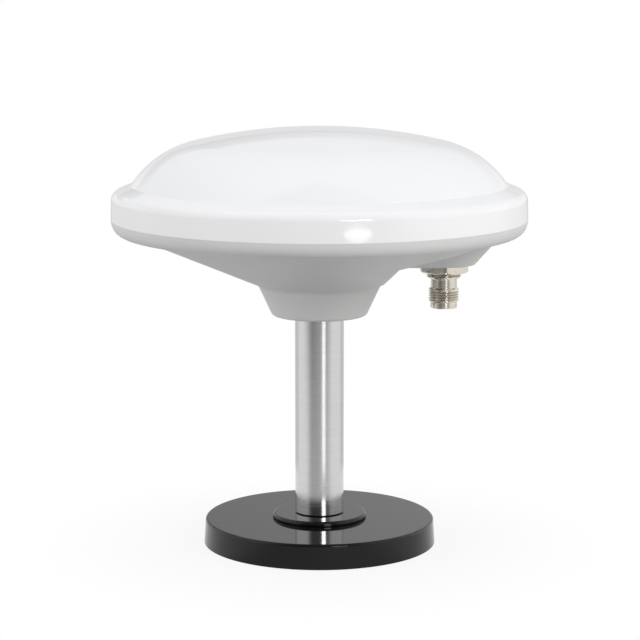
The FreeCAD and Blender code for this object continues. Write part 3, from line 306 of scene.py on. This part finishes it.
class Sketchpad:
    """A node tree that is written in code."""

    def __init__(self, tree):
        self.tree = tree

    def add(self, kind, settings=(), out=0, **slots):
        """Add a node: its settings first, then the values or links of its sockets."""
        node = self.tree.nodes.new(kind)
        for name, setting in dict(settings).items():
            setattr(node, name, setting)
        for name, given in slots.items():
            key = int(name[1:]) if name[1:].isdigit() else name.replace("_", " ")
            connect(self.tree, node.inputs[key], given)
        return Wire(self.tree, node.outputs[out])

    def mix(self, factor, first, second):
        """Blend two colours."""
        node = self.tree.nodes.new("ShaderNodeMix")
        node.data_type = "RGBA"
        colours = [slot for slot in node.inputs if slot.type == "RGBA"]
        connect(self.tree, node.inputs[0], factor)
        for slot, given in zip(colours, (first, second)):
            connect(self.tree, slot, given if isinstance(given, Wire) else (*given, 1.0))
        return Wire(self.tree, next(slot for slot in node.outputs if slot.type == "RGBA"))

    def stretched(self, scale):
        """The object's own coordinates in metres, multiplied along each axis."""
        place = self.add("ShaderNodeTexCoord", out="Object")
        return self.add("ShaderNodeMapping", Vector=place, Scale=scale)

    def noise(self, scale, detail=2.0, stretch=(1.0, 1.0, 1.0), roughness=0.5):
        """Noise from 0 to 1 with the given number of cells in a metre."""
        return self.add(
            "ShaderNodeTexNoise", Vector=self.stretched(stretch), Scale=scale, Detail=detail,
            Roughness=roughness)

    def height(self, axis="Z"):
        """One of the object's own coordinates."""
        place = self.add("ShaderNodeTexCoord", out="Object")
        return self.add("ShaderNodeSeparateXYZ", out=axis, s0=place)

    def split(self, place):
        """The three numbers of a place or direction."""
        node = self.tree.nodes.new("ShaderNodeSeparateXYZ")
        connect(self.tree, node.inputs[0], place)
        return [Wire(self.tree, socket) for socket in node.outputs]

    def rays(self):
        """1 for what the camera sees, and 1 for what a mirror or clear glass shows."""
        seen = self.tree.nodes.new("ShaderNodeLightPath")
        camera, glossy, clear = (
            Wire(self.tree, seen.outputs[name])
            for name in ("Is Camera Ray", "Is Glossy Ray", "Is Transmission Ray"))
        return camera, (glossy + clear).clamped()


def new_material(name):
    """An empty material, its node pad and its surface shader."""
    material = bpy.data.materials.new(name)
    material.use_nodes = True
    tree = material.node_tree
    shader = tree.nodes["Principled BSDF"]
    return material, Sketchpad(tree), shader


def dress(pad, shader, shade, roughness, relief, depth):
    """Link a finish's colour, roughness and relief, whose depth is in millimetres."""
    connect(pad.tree, shader.inputs["Base Color"], shade)
    connect(pad.tree, shader.inputs["Roughness"], roughness)
    bump = pad.add("ShaderNodeBump", Strength=1.0, Distance=depth * MM, Height=relief)
    connect(pad.tree, shader.inputs["Normal"], bump)


def finish(name):
    """A finish of the table: blotches of two close colours, an uneven gloss and a fine grain."""
    look = FINISHES[name]
    material, pad, shader = new_material(name)
    cloud = pad.noise(look.blotch, 3.0)
    fine = pad.noise(look.grain, 3.0, look.stretch)
    spread = 0.25
    uneven = look.roughness * (1 - spread) + (0.5 * cloud + 0.5 * fine) * (2 * spread * look.roughness)
    shade = pad.mix(cloud.ramp(0.3, 0.7), look.dark, look.light)
    dress(pad, shader, shade, uneven.clamped(), fine, look.depth)
    shader.inputs["Metallic"].default_value = look.metallic
    shader.inputs["IOR"].default_value = 1.46
    return material


def tint(colour_value, factor):
    """A colour made darker or lighter."""
    return tuple(min(1.0, part * factor) for part in colour_value)


def wear(material, *node_names):
    """Give CAD pieces their finish."""
    for name in node_names:
        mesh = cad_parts[name].data
        mesh.materials.clear()
        mesh.materials.append(material)


def radome_material(look):
    """Glossy white moulding: a cooler white on the dome than on the side wall, darker there as painted shade,
    and a faint ripple of the surface.
    """
    material, pad, shader = new_material("moulded_white")
    up = pad.height()
    cloud = pad.noise(28.0, 2.0)
    ripple = pad.noise(420.0, 2.0)
    wall_top, dome_foot = SEAM_Z + 4 * MM, SEAM_Z + 12 * MM
    # Painted shade: the dome above the side wall gets a darker white than the wall.
    whole = pad.mix(up.ramp(wall_top, dome_foot), look.wall_colour[:], look.dome_shaded_colour[:])
    toned = pad.mix(cloud.ramp(0.25, 0.75), tint(look.dome_shaded_colour, 0.985), look.dome_shaded_colour[:])
    uneven = look.dome_roughness * (0.85 + 0.3 * cloud)
    dress(pad, shader, pad.mix(0.35, whole, toned), uneven, ripple, 0.006)
    shader.inputs["IOR"].default_value = 1.49
    return material


def housing_material(look):
    """Satin grey moulding with the mould's fine texture and faint flow marks."""
    material, pad, shader = new_material("moulded_grey")
    texture = pad.noise(1.0 / look.grain, 4.0, roughness=0.65)
    cloud = pad.noise(35.0, 3.0)
    flow = pad.noise(60.0, 2.0, (1.0, 1.0, 6.0))
    darker, lighter = tint(look.shell_colour, 0.97), tint(look.shell_colour, 1.03)
    mottled = pad.mix(texture.ramp(0.35, 0.65), darker, lighter)
    shade = pad.mix(cloud.ramp(0.3, 0.7) * 0.5, mottled, tint(look.shell_colour, 0.96))
    uneven = look.shell_roughness * (0.8 + 0.2 * flow + 0.2 * texture)
    dress(pad, shader, shade, uneven, texture, 0.012)
    shader.inputs["Specular IOR Level"].default_value = 0.3
    shader.inputs["IOR"].default_value = 1.48
    return material


def pole_material(look):
    """Polished steel tube with fine turning lines round it."""
    material, pad, shader = new_material("polished_steel")
    lines = pad.noise(100.0, 4.0, (0.5, 0.5, 60.0), 0.7)
    streak = pad.noise(100.0, 3.0, (1.2, 1.2, 5.0))
    cloud = pad.noise(45.0, 3.0)
    lined = pad.mix(lines.ramp(0.3, 0.7), tint(look.steel, 0.94), tint(look.steel, 1.03))
    uneven = look.steel_roughness * (0.7 + 0.35 * lines + 0.25 * streak)
    dress(pad, shader, pad.mix(cloud * 0.25, lined, tint(look.steel, 0.9)), uneven, lines, 0.010)
    shader.inputs["Metallic"].default_value = 1.0
    return material


def plating_material(look):
    """Bright plating with turning lines; in the roots of both threads it is duller, and darker as painted
    shade.
    """
    material, pad, shader = new_material("bright_plating")
    along, across, up = pad.height("X") - JACK_X, pad.height("Y"), pad.height("Z")
    reach = (along * along + across * across).root() / look.coupling_radius
    fade = 0.3 * MM
    low, high = (JACK_LOW.z + height * MM for height in COUPLING_ZONE)
    start = JACK_LOW.z + MOUNTING_ZONE[0] * MM
    coupling = up.band(low + 0.2 * MM, high - 0.1 * MM, fade) * reach.band(0.90, 0.93, 0.03)
    mounting = up.ramp(start, start + fade) * reach.band(1.04, 1.09, 0.03)
    painted_root_shade = coupling + 1.4 * mounting
    cloud, lines = pad.noise(400.0, 3.0), pad.noise(900.0, 3.0, (1.0, 1.0, 9.0))
    clean = pad.mix(cloud.ramp(0.3, 0.7), tint(look.plating, 0.93), look.plating[:])
    # Painted shade: the plating is darkened in the roots of both threads, which are also made rougher.
    shade = pad.mix(painted_root_shade * 0.5, clean, tint(look.plating, 0.35))
    dress(pad, shader, shade, 0.07 + 0.03 * cloud + 0.03 * lines + 0.06 * painted_root_shade, lines, 0.002)
    shader.inputs["Metallic"].default_value = 1.0
    return material


def foot_material(look):
    """Mirror black moulding with faint wiping marks and a little dust."""
    material, pad, shader = new_material("gloss_black")
    wipe = pad.noise(70.0, 4.0, (1.0, 2.2, 1.0), 0.6)
    dust = pad.noise(2600.0, 1.0)
    ripple = pad.noise(160.0, 1.0)
    shade = pad.mix(dust.ramp(0.72, 0.82) * 0.5, look.gloss_black[:], tint(look.gloss_black, 3.0))
    dress(pad, shader, shade, 0.045 + 0.05 * wipe.ramp(0.35, 0.75), ripple, 0.003)
    shader.inputs["IOR"].default_value = 1.38
    return material


def board_material():
    """Green lacquered laminate with patches of bright pads in rows, and paler tracks."""
    material, pad, shader = new_material("board_lacquer")
    rows_in_metre, half_pad = 260, 0.16
    row, column = (abs((pad.height(axis) * rows_in_metre).part() - 0.5) for axis in "XY")
    pads = (row < half_pad) * (column < half_pad) * (pad.noise(70.0, 1.0) > 0.56)
    tracks = pad.noise(300.0, 0.0).ramp(0.49, 0.51) * 0.35
    lacquer = pad.mix(tracks, (0.015, 0.12, 0.05), (0.03, 0.19, 0.09))
    dress(pad, shader, pad.mix(pads, lacquer, (0.72, 0.68, 0.55)), 0.35 - 0.1 * pads, pads + tracks, 0.03)
    connect(pad.tree, shader.inputs["Metallic"], pads)
    return material


def plain_mesh(name, points, faces, material):
    """A new object in the scene from points and faces."""
    mesh = bpy.data.meshes.new(name)
    mesh.from_pydata(points, [], faces)
    mesh.materials.append(material)
    mesh.validate()
    item = bpy.data.objects.new(name, mesh)
    bpy.context.scene.collection.objects.link(item)
    return item


def swept_round(name, outline_at, columns, axis_x, material):
    """Turn a closed outline of (radius, height) points round an upright axis.

    outline_at gives the outline for a direction. A point on the axis becomes one shared vertex."""
    points, faces, strips = [], [], []
    for column in range(columns):
        angle = math.tau * column / columns
        strip = []
        for row, (radius, height) in enumerate(outline_at(angle)):
            if radius == 0 and column:
                strip.append(strips[0][row])
                continue
            strip.append(len(points))
            points.append((axis_x + radius * math.cos(angle), radius * math.sin(angle), height))
        strips.append(strip)
    for here, there in zip(strips, strips[1:] + strips[:1]):
        for row in range(len(here)):
            beyond = (row + 1) % len(here)
            corners = list(dict.fromkeys((here[row], there[row], there[beyond], here[beyond])))
            if len(corners) > 2:
                faces.append(corners)
    return plain_mesh(name, points, faces, material)


def eased(outline, reach):
    """Round every sharp corner of a closed outline and hold the sides next to it straight."""
    nearly_straight, hold = -0.985, 1.7
    result = []
    for i, corner in enumerate(outline):
        here = Vector(corner)
        back, ahead = Vector(outline[i - 1]) - here, Vector(outline[(i + 1) % len(outline)]) - here
        straight = back.normalized().dot(ahead.normalized()) < nearly_straight
        cut = min(reach, back.length / 4, ahead.length / 4)
        if straight or corner[0] == 0:
            result.append(tuple(here))
            continue
        first, last = back.normalized() * cut, ahead.normalized() * cut
        result.append(tuple(here + first * hold))
        for mix in (0, 1 / 3, 2 / 3, 1):
            result.append(tuple(here + first * (1 - mix) ** 2 + last * mix ** 2))
        result.append(tuple(here + last * hold))
    return result


def divided(outline, low, high, step):
    """Add points to the outline's upright sides between two heights, for a thread to be cut there."""
    result = []
    for i, (radius, height) in enumerate(outline):
        result.append((radius, height))
        next_radius, next_height = outline[(i + 1) % len(outline)]
        upright = abs(next_radius - radius) < 0.3 * abs(next_height - height)
        inside = max(low, min(height, next_height)) < min(high, max(height, next_height))
        if not (upright and inside):
            continue
        count = max(1, round(abs(next_height - height) / step))
        for part in range(1, count):
            mix = part / count
            result.append((radius + (next_radius - radius) * mix, height + (next_height - height) * mix))
    return result


def smooth(item, angle=math.radians(36)):
    """Shade a piece smooth, apart from its sharp edges."""
    for polygon in item.data.polygons:
        polygon.use_smooth = True
    item.data.set_sharp_from_angle(angle=angle)


THREAD_INPUTS = ("Axis X", "Radius", "Depth", "Pitch", "Low", "High")


def thread_tree(material):
    """Geometry Nodes that cut a screw thread into a turned piece by moving its skin inwards."""
    tree = bpy.data.node_groups.new("cut_thread", "GeometryNodeTree")
    tree.interface.new_socket("Geometry", in_out="INPUT", socket_type="NodeSocketGeometry")
    for name in THREAD_INPUTS:
        tree.interface.new_socket(name, in_out="INPUT", socket_type="NodeSocketFloat")
    tree.interface.new_socket("Geometry", in_out="OUTPUT", socket_type="NodeSocketGeometry")
    pad = Sketchpad(tree)
    source = tree.nodes.new("NodeGroupInput")
    axis_x, radius, depth, pitch, low, high = (Wire(tree, source.outputs[name]) for name in THREAD_INPUTS)
    along, across, up = pad.split(pad.add("GeometryNodeInputPosition"))
    along = along - axis_x
    reach = (along * along + across * across).root()
    turn = across.direction_of(along) / math.tau
    wave = abs(((up - low) / pitch - turn).part() * 2 - 1)
    groove = (wave * 1.5 - 0.25).clamped()  # flat over a sixth of the pitch at crest and root
    runout = ((up - low) / pitch).clamped() * ((high - up) / pitch).clamped()
    skin = (reach > radius - depth * 0.5) * (reach < radius + depth)
    pull = groove * depth * runout * skin / reach
    offset = pad.add("ShaderNodeCombineXYZ", X=-(along * pull), Y=-(across * pull), Z=0.0)
    moved = pad.add("GeometryNodeSetPosition", Geometry=source.outputs["Geometry"], Offset=offset)
    real = pad.add("GeometryNodeRealizeInstances", Geometry=moved)
    coated = pad.add("GeometryNodeSetMaterial", Geometry=real, Material=material)
    result = tree.nodes.new("NodeGroupOutput")
    tree.links.new(coated.socket, result.inputs[0])
    return tree


def cut_threads(item, material, threads):
    """Run the thread tree over a piece for each of its threads and keep the result as a plain mesh."""
    tree = thread_tree(material)
    sockets = {
        entry.name: entry.identifier for entry in tree.interface.items_tree if entry.in_out == "INPUT"}
    for thread in threads:
        modifier = item.modifiers.new("thread", "NODES")
        modifier.node_group = tree
        for name, number in zip(THREAD_INPUTS, thread):
            modifier[sockets[name]] = float(number)
    graph = bpy.context.evaluated_depsgraph_get()
    graph.update()
    made = bpy.data.meshes.new_from_object(item.evaluated_get(graph))
    item.modifiers.clear()
    old, item.data = item.data, made
    made.name = item.name
    bpy.data.meshes.remove(old)


class AntennaPiece:
    """What every operator of this add-on shares."""

    bl_options = {"REGISTER", "UNDO"}


class ANTENNA_OT_head(AntennaPiece, bpy.types.Operator):
    """Give the radome and the lower housing their moulded finishes"""

    bl_idname = "antenna.head"
    bl_label = "Dress the head"

    def execute(self, context):
        look = context.scene.antenna_head
        wear(radome_material(look), "radome")
        wear(housing_material(look), "lower_housing")
        return {"FINISHED"}


class ANTENNA_OT_jack(AntennaPiece, bpy.types.Operator):
    """Make the jack's threaded body and its nut, and finish the pieces inside the jack"""

    bl_idname = "antenna.jack"
    bl_label = "Make the jack"

    def execute(self, context):
        sizes = context.scene.antenna_jack
        plated = plating_material(sizes)
        self.make_body(sizes, plated)
        self.make_nut(sizes, plated)
        wear(finish("waxy_insulator"), "connector_insulator")
        wear(finish("gilt"), "connector_contact")
        return {"FINISHED"}

    def make_body(self, sizes, plated):
        """Turned body: mating bore, coupling thread, neck, mounting thread, flange and tail."""
        coupling, mounting = sizes.coupling_radius / MM, sizes.mounting_radius / MM
        # Radius and height above the mouth in millimetres: up the outside, and down the bore.
        profile = [
            (4.05, 0.30), (4.30, 0.0), (4.62, 0.0), (4.9, 0.28), (4.9, 2.02), (4.82, 2.2), (4.98, 2.35),
            (coupling, 2.75), (coupling, 7.02), (4.98, 7.5), (4.8, 7.65), (4.8, 10.85), (5.0, 11.2),
            (5.85, 11.2), (mounting, 11.65), (mounting, 19.1), (6.9, 19.1), (6.9, 20.3), (8.3, 20.3),
            (8.3, 19.1), (9.0, 19.1), (9.0, 21.5), (4.0, 21.5), (4.0, 22.7), (2.1, 22.7), (2.1, 8.2),
            (4.05, 8.2),
        ]
        outline = eased([(radius * MM, JACK_LOW.z + height * MM) for radius, height in profile], 0.09 * MM)
        threads = []
        for radius, pitch, depth, zone, rows in (
            (sizes.coupling_radius, sizes.coupling_pitch, sizes.thread_depth, COUPLING_ZONE, 12),
            (sizes.mounting_radius, sizes.mounting_pitch, sizes.thread_depth * 0.8, MOUNTING_ZONE, 10),
        ):
            low, high = (JACK_LOW.z + height * MM for height in zone)
            outline = divided(outline, low, high, pitch / rows)
            threads.append((JACK_X, radius, depth, pitch, low, high))
        columns = bpy.context.scene.antenna_stand.columns
        body = swept_round("jack_body", lambda angle: outline, columns, JACK_X, plated)
        cut_threads(body, plated, threads)
        smooth(body)
        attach(body, "root")
        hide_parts("connector_body")

    def make_nut(self, sizes, plated):
        """Hexagonal nut: flats, corners turned to a cone below and a bevelled bore."""
        half = sizes.nut_flats / 2
        corner = half / math.cos(math.pi / 6) - sizes.nut_corner_cut
        bevel, bore, face, cone_slope = 0.4 * MM, 6.35 * MM, half * 0.985, 0.58
        low, high = NUT_LOW.z - bevel, NUT_HIGH.z

        def outline_at(angle):
            side = (angle - sizes.nut_turn) % (math.pi / 3) - math.pi / 6
            outer = min(half / math.cos(side), corner)
            edge = low + (outer - face) * cone_slope
            return [
                (bore, low + bevel), (bore + bevel, low), (face, low), (outer - 0.10 * MM, edge),
                (outer - 0.03 * MM, edge + 0.05 * MM), (outer, edge + 0.14 * MM), (outer, edge + 0.24 * MM),
                (outer, high - 0.22 * MM), (outer, high - 0.12 * MM), (outer - 0.10 * MM, high), (bore, high),
            ]

        columns = 180
        nut = swept_round("jack_nut", outline_at, columns, JACK_X, plated)
        smooth(nut, math.radians(24))
        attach(nut, "root")
        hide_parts("connector_nut")


class ANTENNA_OT_stand(AntennaPiece, bpy.types.Operator):
    """Finish the pole, its threaded stud, the collar and the foot's cup"""

    bl_idname = "antenna.stand"
    bl_label = "Dress the stand"

    def execute(self, context):
        look = context.scene.antenna_stand
        wear(pole_material(look), "pole_tube")
        black, zinc = foot_material(look), finish("zinc_plate")
        wear(black, "base_cover")
        wear(zinc, "pole_foot_plug", "backing_plate", "tray_screws", "centre_bolt")
        wear(finish("black_rubber"), "base_pad")
        wear(finish("magnet_plate"), "magnet_discs")
        wear(finish("tray_black"), "magnet_tray")
        self.make_collar(look, black)
        self.make_stud(look, zinc)
        return {"FINISHED"}

    def make_collar(self, look, black):
        """The ring at the pole's foot: a flat top that rolls over into a round side."""
        roll, foot, bore_edge = look.collar_roll, 0.3 * MM, 0.15 * MM
        outer, bore = COLLAR_HIGH.x + look.collar_swell, look.collar_bore
        low, high = COLLAR_LOW.z, COLLAR_HIGH.z
        steps = 14
        outline = [(bore, low), (outer - foot, low), (outer, low + foot)]
        for step in range(steps + 1):
            angle = math.pi / 2 * step / steps
            outline.append((outer - roll + roll * math.cos(angle), high - roll + roll * math.sin(angle)))
        outline += [(outer - roll - bore_edge, high), (bore + bore_edge, high), (bore, high - bore_edge)]
        collar = swept_round("rolled_collar", lambda angle: outline, look.columns, 0.0, black)
        smooth(collar)
        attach(collar, "root")
        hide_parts("foot_collar")

    def make_stud(self, look, zinc):
        """The plug in the pole's top with its coarse thread."""
        plug, bevel, depth, rows = 7.45 * MM, 1.2 * MM, 0.8 * MM, 14
        profile = [
            (0.0, STUD_LOW.z), (plug, STUD_LOW.z), (plug, POLE_HIGH), (look.stud_radius, POLE_HIGH),
            (look.stud_radius, STUD_HIGH.z - bevel), (look.stud_radius - bevel, STUD_HIGH.z),
            (0.0, STUD_HIGH.z),
        ]
        outline = divided(eased(profile, 0.12 * MM), POLE_HIGH, STUD_HIGH.z, look.stud_pitch / rows)
        stud = swept_round("threaded_stud", lambda angle: outline, look.columns, 0.0, zinc)
        thread_end = STUD_HIGH.z - 0.4 * MM
        cut_threads(stud, zinc, [(0.0, look.stud_radius, depth, look.stud_pitch, POLE_HIGH, thread_end)])
        smooth(stud)
        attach(stud, "root")
        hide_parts("pole_top_stud")


class ANTENNA_OT_inside(AntennaPiece, bpy.types.Operator):
    """Finish the pieces that the head holds inside"""

    bl_idname = "antenna.inside"
    bl_label = "Dress the inside"

    def execute(self, context):
        wear(board_material(), "circuit_board")
        wear(finish("seal_rubber"), "radome_seal", "connector_seal")
        wear(finish("insert_brass"), "threaded_insert")
        wear(finish("screw_steel"), "board_screws", "centre_screw")
        wear(finish("rolled_sheet"), "lower_patch_plate", "upper_patch_plate", "centre_post")
        wear(finish("natural_nylon"), "lower_spacers", "upper_spacers", "plate_screws", "plate_nuts")
        wear(finish("tinned_sheet"), "lna_shield_can")
        wear(finish("gilt_pins"), "feed_pins")
        wear(finish("lead_jacket"), "inner_coax_lead")
        return {"FINISHED"}


class ANTENNA_OT_studio(AntennaPiece, bpy.types.Operator):
    """Set up the pale floor, the soft lights and the camera"""

    bl_idname = "antenna.studio"
    bl_label = "Set up the studio"

    def execute(self, context):
        settings = context.scene.antenna_studio
        context.scene.view_settings.view_transform = "Standard"
        self.make_camera(context, settings)
        self.make_world(context, settings)
        self.make_floor(settings)
        self.make_lights(context)
        return {"FINISHED"}

    def make_camera(self, context, settings):
        data = bpy.data.cameras.new("photo_camera")
        data.lens = settings.lens
        data.sensor_width = 36.0
        camera = bpy.data.objects.new("photo_camera", data)
        camera.location = (settings.camera_side, -settings.camera_back, settings.camera_height)
        camera.rotation_euler = (math.radians(90) - settings.camera_pitch, 0.0, 0.0)
        context.scene.collection.objects.link(camera)
        context.scene.camera = camera

    def make_world(self, context, settings):
        """White for the camera, the studio's picture for gloss and metal, a soft tent for the rest."""
        world = bpy.data.worlds.new("tent")
        context.scene.world = world
        world.use_nodes = True
        tree = world.node_tree
        pad = Sketchpad(tree)
        x, y, z = pad.split(pad.add("ShaderNodeTexCoord", out="Generated"))
        turn = x.direction_of(-y) * math.degrees(1)
        rise = z.angle_of_sine() * math.degrees(1)
        level = self.mirrored_level(settings, x, turn, rise)
        below = settings.fill_below + settings.fill_slope * x * (1 - rise.ramp(*TENT_SLOPE_RISE))
        soft = below + (settings.fill - below) * rise.ramp(*TENT_RISE)
        by_camera, by_mirror = pad.rays()
        strength = by_camera + (1 - by_camera) * (by_mirror * level + (1 - by_mirror) * soft)
        background = tree.nodes["Background"]
        background.inputs["Color"].default_value = (1.0, 1.0, 1.0, 1.0)
        connect(tree, background.inputs["Strength"], strength)

    def mirrored_level(self, settings, x, turn, rise):
        """How bright the studio is in gloss and metal, in every direction."""
        behind = abs(turn)
        jack_view = rise.band(*JACK_RISE)
        low = 1 - rise.ramp(*NEAR_FLOOR_RISE)
        near = settings.near - JACK_SHADE * jack_view + settings.near_floor * low
        middle = settings.right_side - settings.right_gap * rise.ramp(*RIGHT_GAP_RISE)
        level = self.around(turn + JACK_TURN * jack_view * (turn < 0), near, middle)

        far_sides = behind.ramp(*FAR_SIDES_TURN) * (1 - rise.ramp(*FAR_SIDES_RISE))
        level = level * (1 - settings.edge_shade * far_sides)
        level = level * (1 + settings.side_glow * rise.band(*SIDES_RISE) * behind.band(*SIDES_TURN))
        slope = settings.back_slope * (x.ramp(*BACK_WALL_SLOPE) - 0.5)
        wall = rise.band(*BACK_WALL_RISE) * (settings.back_shade - slope)
        hall = rise.band(*HALL_RISE) * settings.hall_shade
        level = level * (1 - behind.ramp(*HALL_TURN) * (hall + wall))
        far_end = behind.ramp(*FAR_END_TURN) * rise.band(*FAR_END_RISE)
        level = level * (1 - settings.outline_shade * far_end)

        line = turn.band(*LIGHT_LINE_TURN)
        wide = (turn - SOFTBOX_TURN) / SOFTBOX_HALF_WIDTH
        tall = (rise - SOFTBOX_RISE) / SOFTBOX_HALF_HEIGHT
        level = level + settings.pole_light * line * rise.band(*POLE_LIGHT_RISE)
        level = level + settings.softbox * (1 - (wide * wide + tall * tall).ramp(*SOFTBOX_EDGE))
        return level + settings.bar_light * line * rise.band(*BAR_LIGHT_RISE)

    def around(self, turn, near, middle):
        """The studio all round: white at the left, near's level, middle's level, white at the right."""
        level = near + (1 - near) * (1 - turn.ramp(*LEFT_TURN))
        return level + (middle - near) * turn.ramp(*MIDDLE_TURN) + (1 - middle) * turn.ramp(*RIGHT_TURN)

    def make_floor(self, settings):
        """A round pale floor that keeps the shadow and fades into the white round it."""
        material, pad, shader = new_material("pale_floor")
        tree = pad.tree
        along, across = pad.height("X"), pad.height("Y")
        away = (along * along + across * across).root()
        paper = pad.noise(900.0, 3.0)
        connect(tree, shader.inputs["Base Color"], pad.mix(paper, (0.60, 0.60, 0.60), (0.63, 0.63, 0.63)))
        shader.inputs["Roughness"].default_value = 0.9
        shader.inputs["Specular IOR Level"].default_value = 0.1
        white = tree.nodes.new("ShaderNodeEmission")
        blend = tree.nodes.new("ShaderNodeMixShader")
        by_camera, by_mirror = pad.rays()
        shadow_kept, fade_from, fade_to = 0.10, 0.045, 0.115
        fade = away.ramp(fade_from, fade_to)
        whiteness = (by_camera + by_mirror).clamped() * (1 - shadow_kept + shadow_kept * fade)
        turn = along.direction_of(-across) * math.degrees(1)
        level = self.around(turn, settings.near + settings.near_floor, settings.right_side)
        connect(tree, blend.inputs[0], whiteness)
        connect(tree, white.inputs["Strength"], by_camera + by_mirror * level)
        tree.links.new(shader.outputs[0], blend.inputs[1])
        tree.links.new(white.outputs[0], blend.inputs[2])
        tree.links.new(blend.outputs[0], tree.nodes["Material Output"].inputs["Surface"])
        radius, turns = settings.floor_radius, [math.tau * i / 96 for i in range(96)]
        rim = [(radius * math.cos(angle), radius * math.sin(angle), 0.0) for angle in turns]
        plain_mesh("floor", rim, [tuple(range(96))], material)

    def make_lights(self, context):
        """A broad light overhead, two from the left and two from the right of the camera, in watts."""
        for name, place, size, power in (
            ("top_back", (0.0, 0.30, 1.05), (0.9, 0.6), 0.8),
            ("left_side", (-0.95, -0.20, 0.42), (0.4, 0.5), 3.0),
            ("left_front", (-0.62, -0.72, 0.45), (0.4, 0.4), 0.8),
            ("right_low", (0.70, -0.67, 0.12), (0.4, 0.3), 0.45),
            ("right_high", (0.70, -0.67, 0.60), (0.4, 0.3), 5.0),
        ):
            data = bpy.data.lights.new(name, "AREA")
            data.shape = "RECTANGLE"
            data.size, data.size_y = size
            data.energy = power
            light = bpy.data.objects.new(name, data)
            light.visible_glossy = False
            light.location = place
            light.rotation_euler = (HEAD_CENTRE - Vector(place)).to_track_quat("-Z", "Y").to_euler()
            context.scene.collection.objects.link(light)


class ANTENNA_PT_panel(bpy.types.Panel):
    """Sizes, colours and steps of the antenna"""

    bl_idname = "ANTENNA_PT_panel"
    bl_label = "Positioning antenna"
    bl_space_type = "VIEW_3D"
    bl_region_type = "UI"
    bl_category = "Antenna"

    def draw(self, context):
        for name, (group, operators) in SECTIONS.items():
            box = self.layout.box()
            settings = getattr(context.scene, name)
            for field in group.__annotations__:
                box.prop(settings, field)
            for operator in operators:
                box.operator(operator.bl_idname)


SECTIONS = {
    "antenna_head": (HeadSettings, (ANTENNA_OT_head, ANTENNA_OT_inside)),
    "antenna_jack": (JackSettings, (ANTENNA_OT_jack,)),
    "antenna_stand": (StandSettings, (ANTENNA_OT_stand,)),
    "antenna_studio": (StudioSettings, (ANTENNA_OT_studio,)),
}


def register():
    for name, (group, operators) in SECTIONS.items():
        for entry in (group, *operators):
            bpy.utils.register_class(entry)
        setattr(bpy.types.Scene, name, PointerProperty(type=group))
    bpy.utils.register_class(ANTENNA_PT_panel)


def unregister():
    bpy.utils.unregister_class(ANTENNA_PT_panel)
    for name, (group, operators) in reversed(SECTIONS.items()):
        delattr(bpy.types.Scene, name)
        for entry in (*reversed(operators), group):
            bpy.utils.unregister_class(entry)


def main():
    """Register the add-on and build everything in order."""
    register()
    bpy.ops.antenna.studio()
    bpy.ops.antenna.head()
    bpy.ops.antenna.inside()
    bpy.ops.antenna.stand()
    bpy.ops.antenna.jack()
    bpy.context.view_layer.update()


if __name__ == "__main__":
    main()
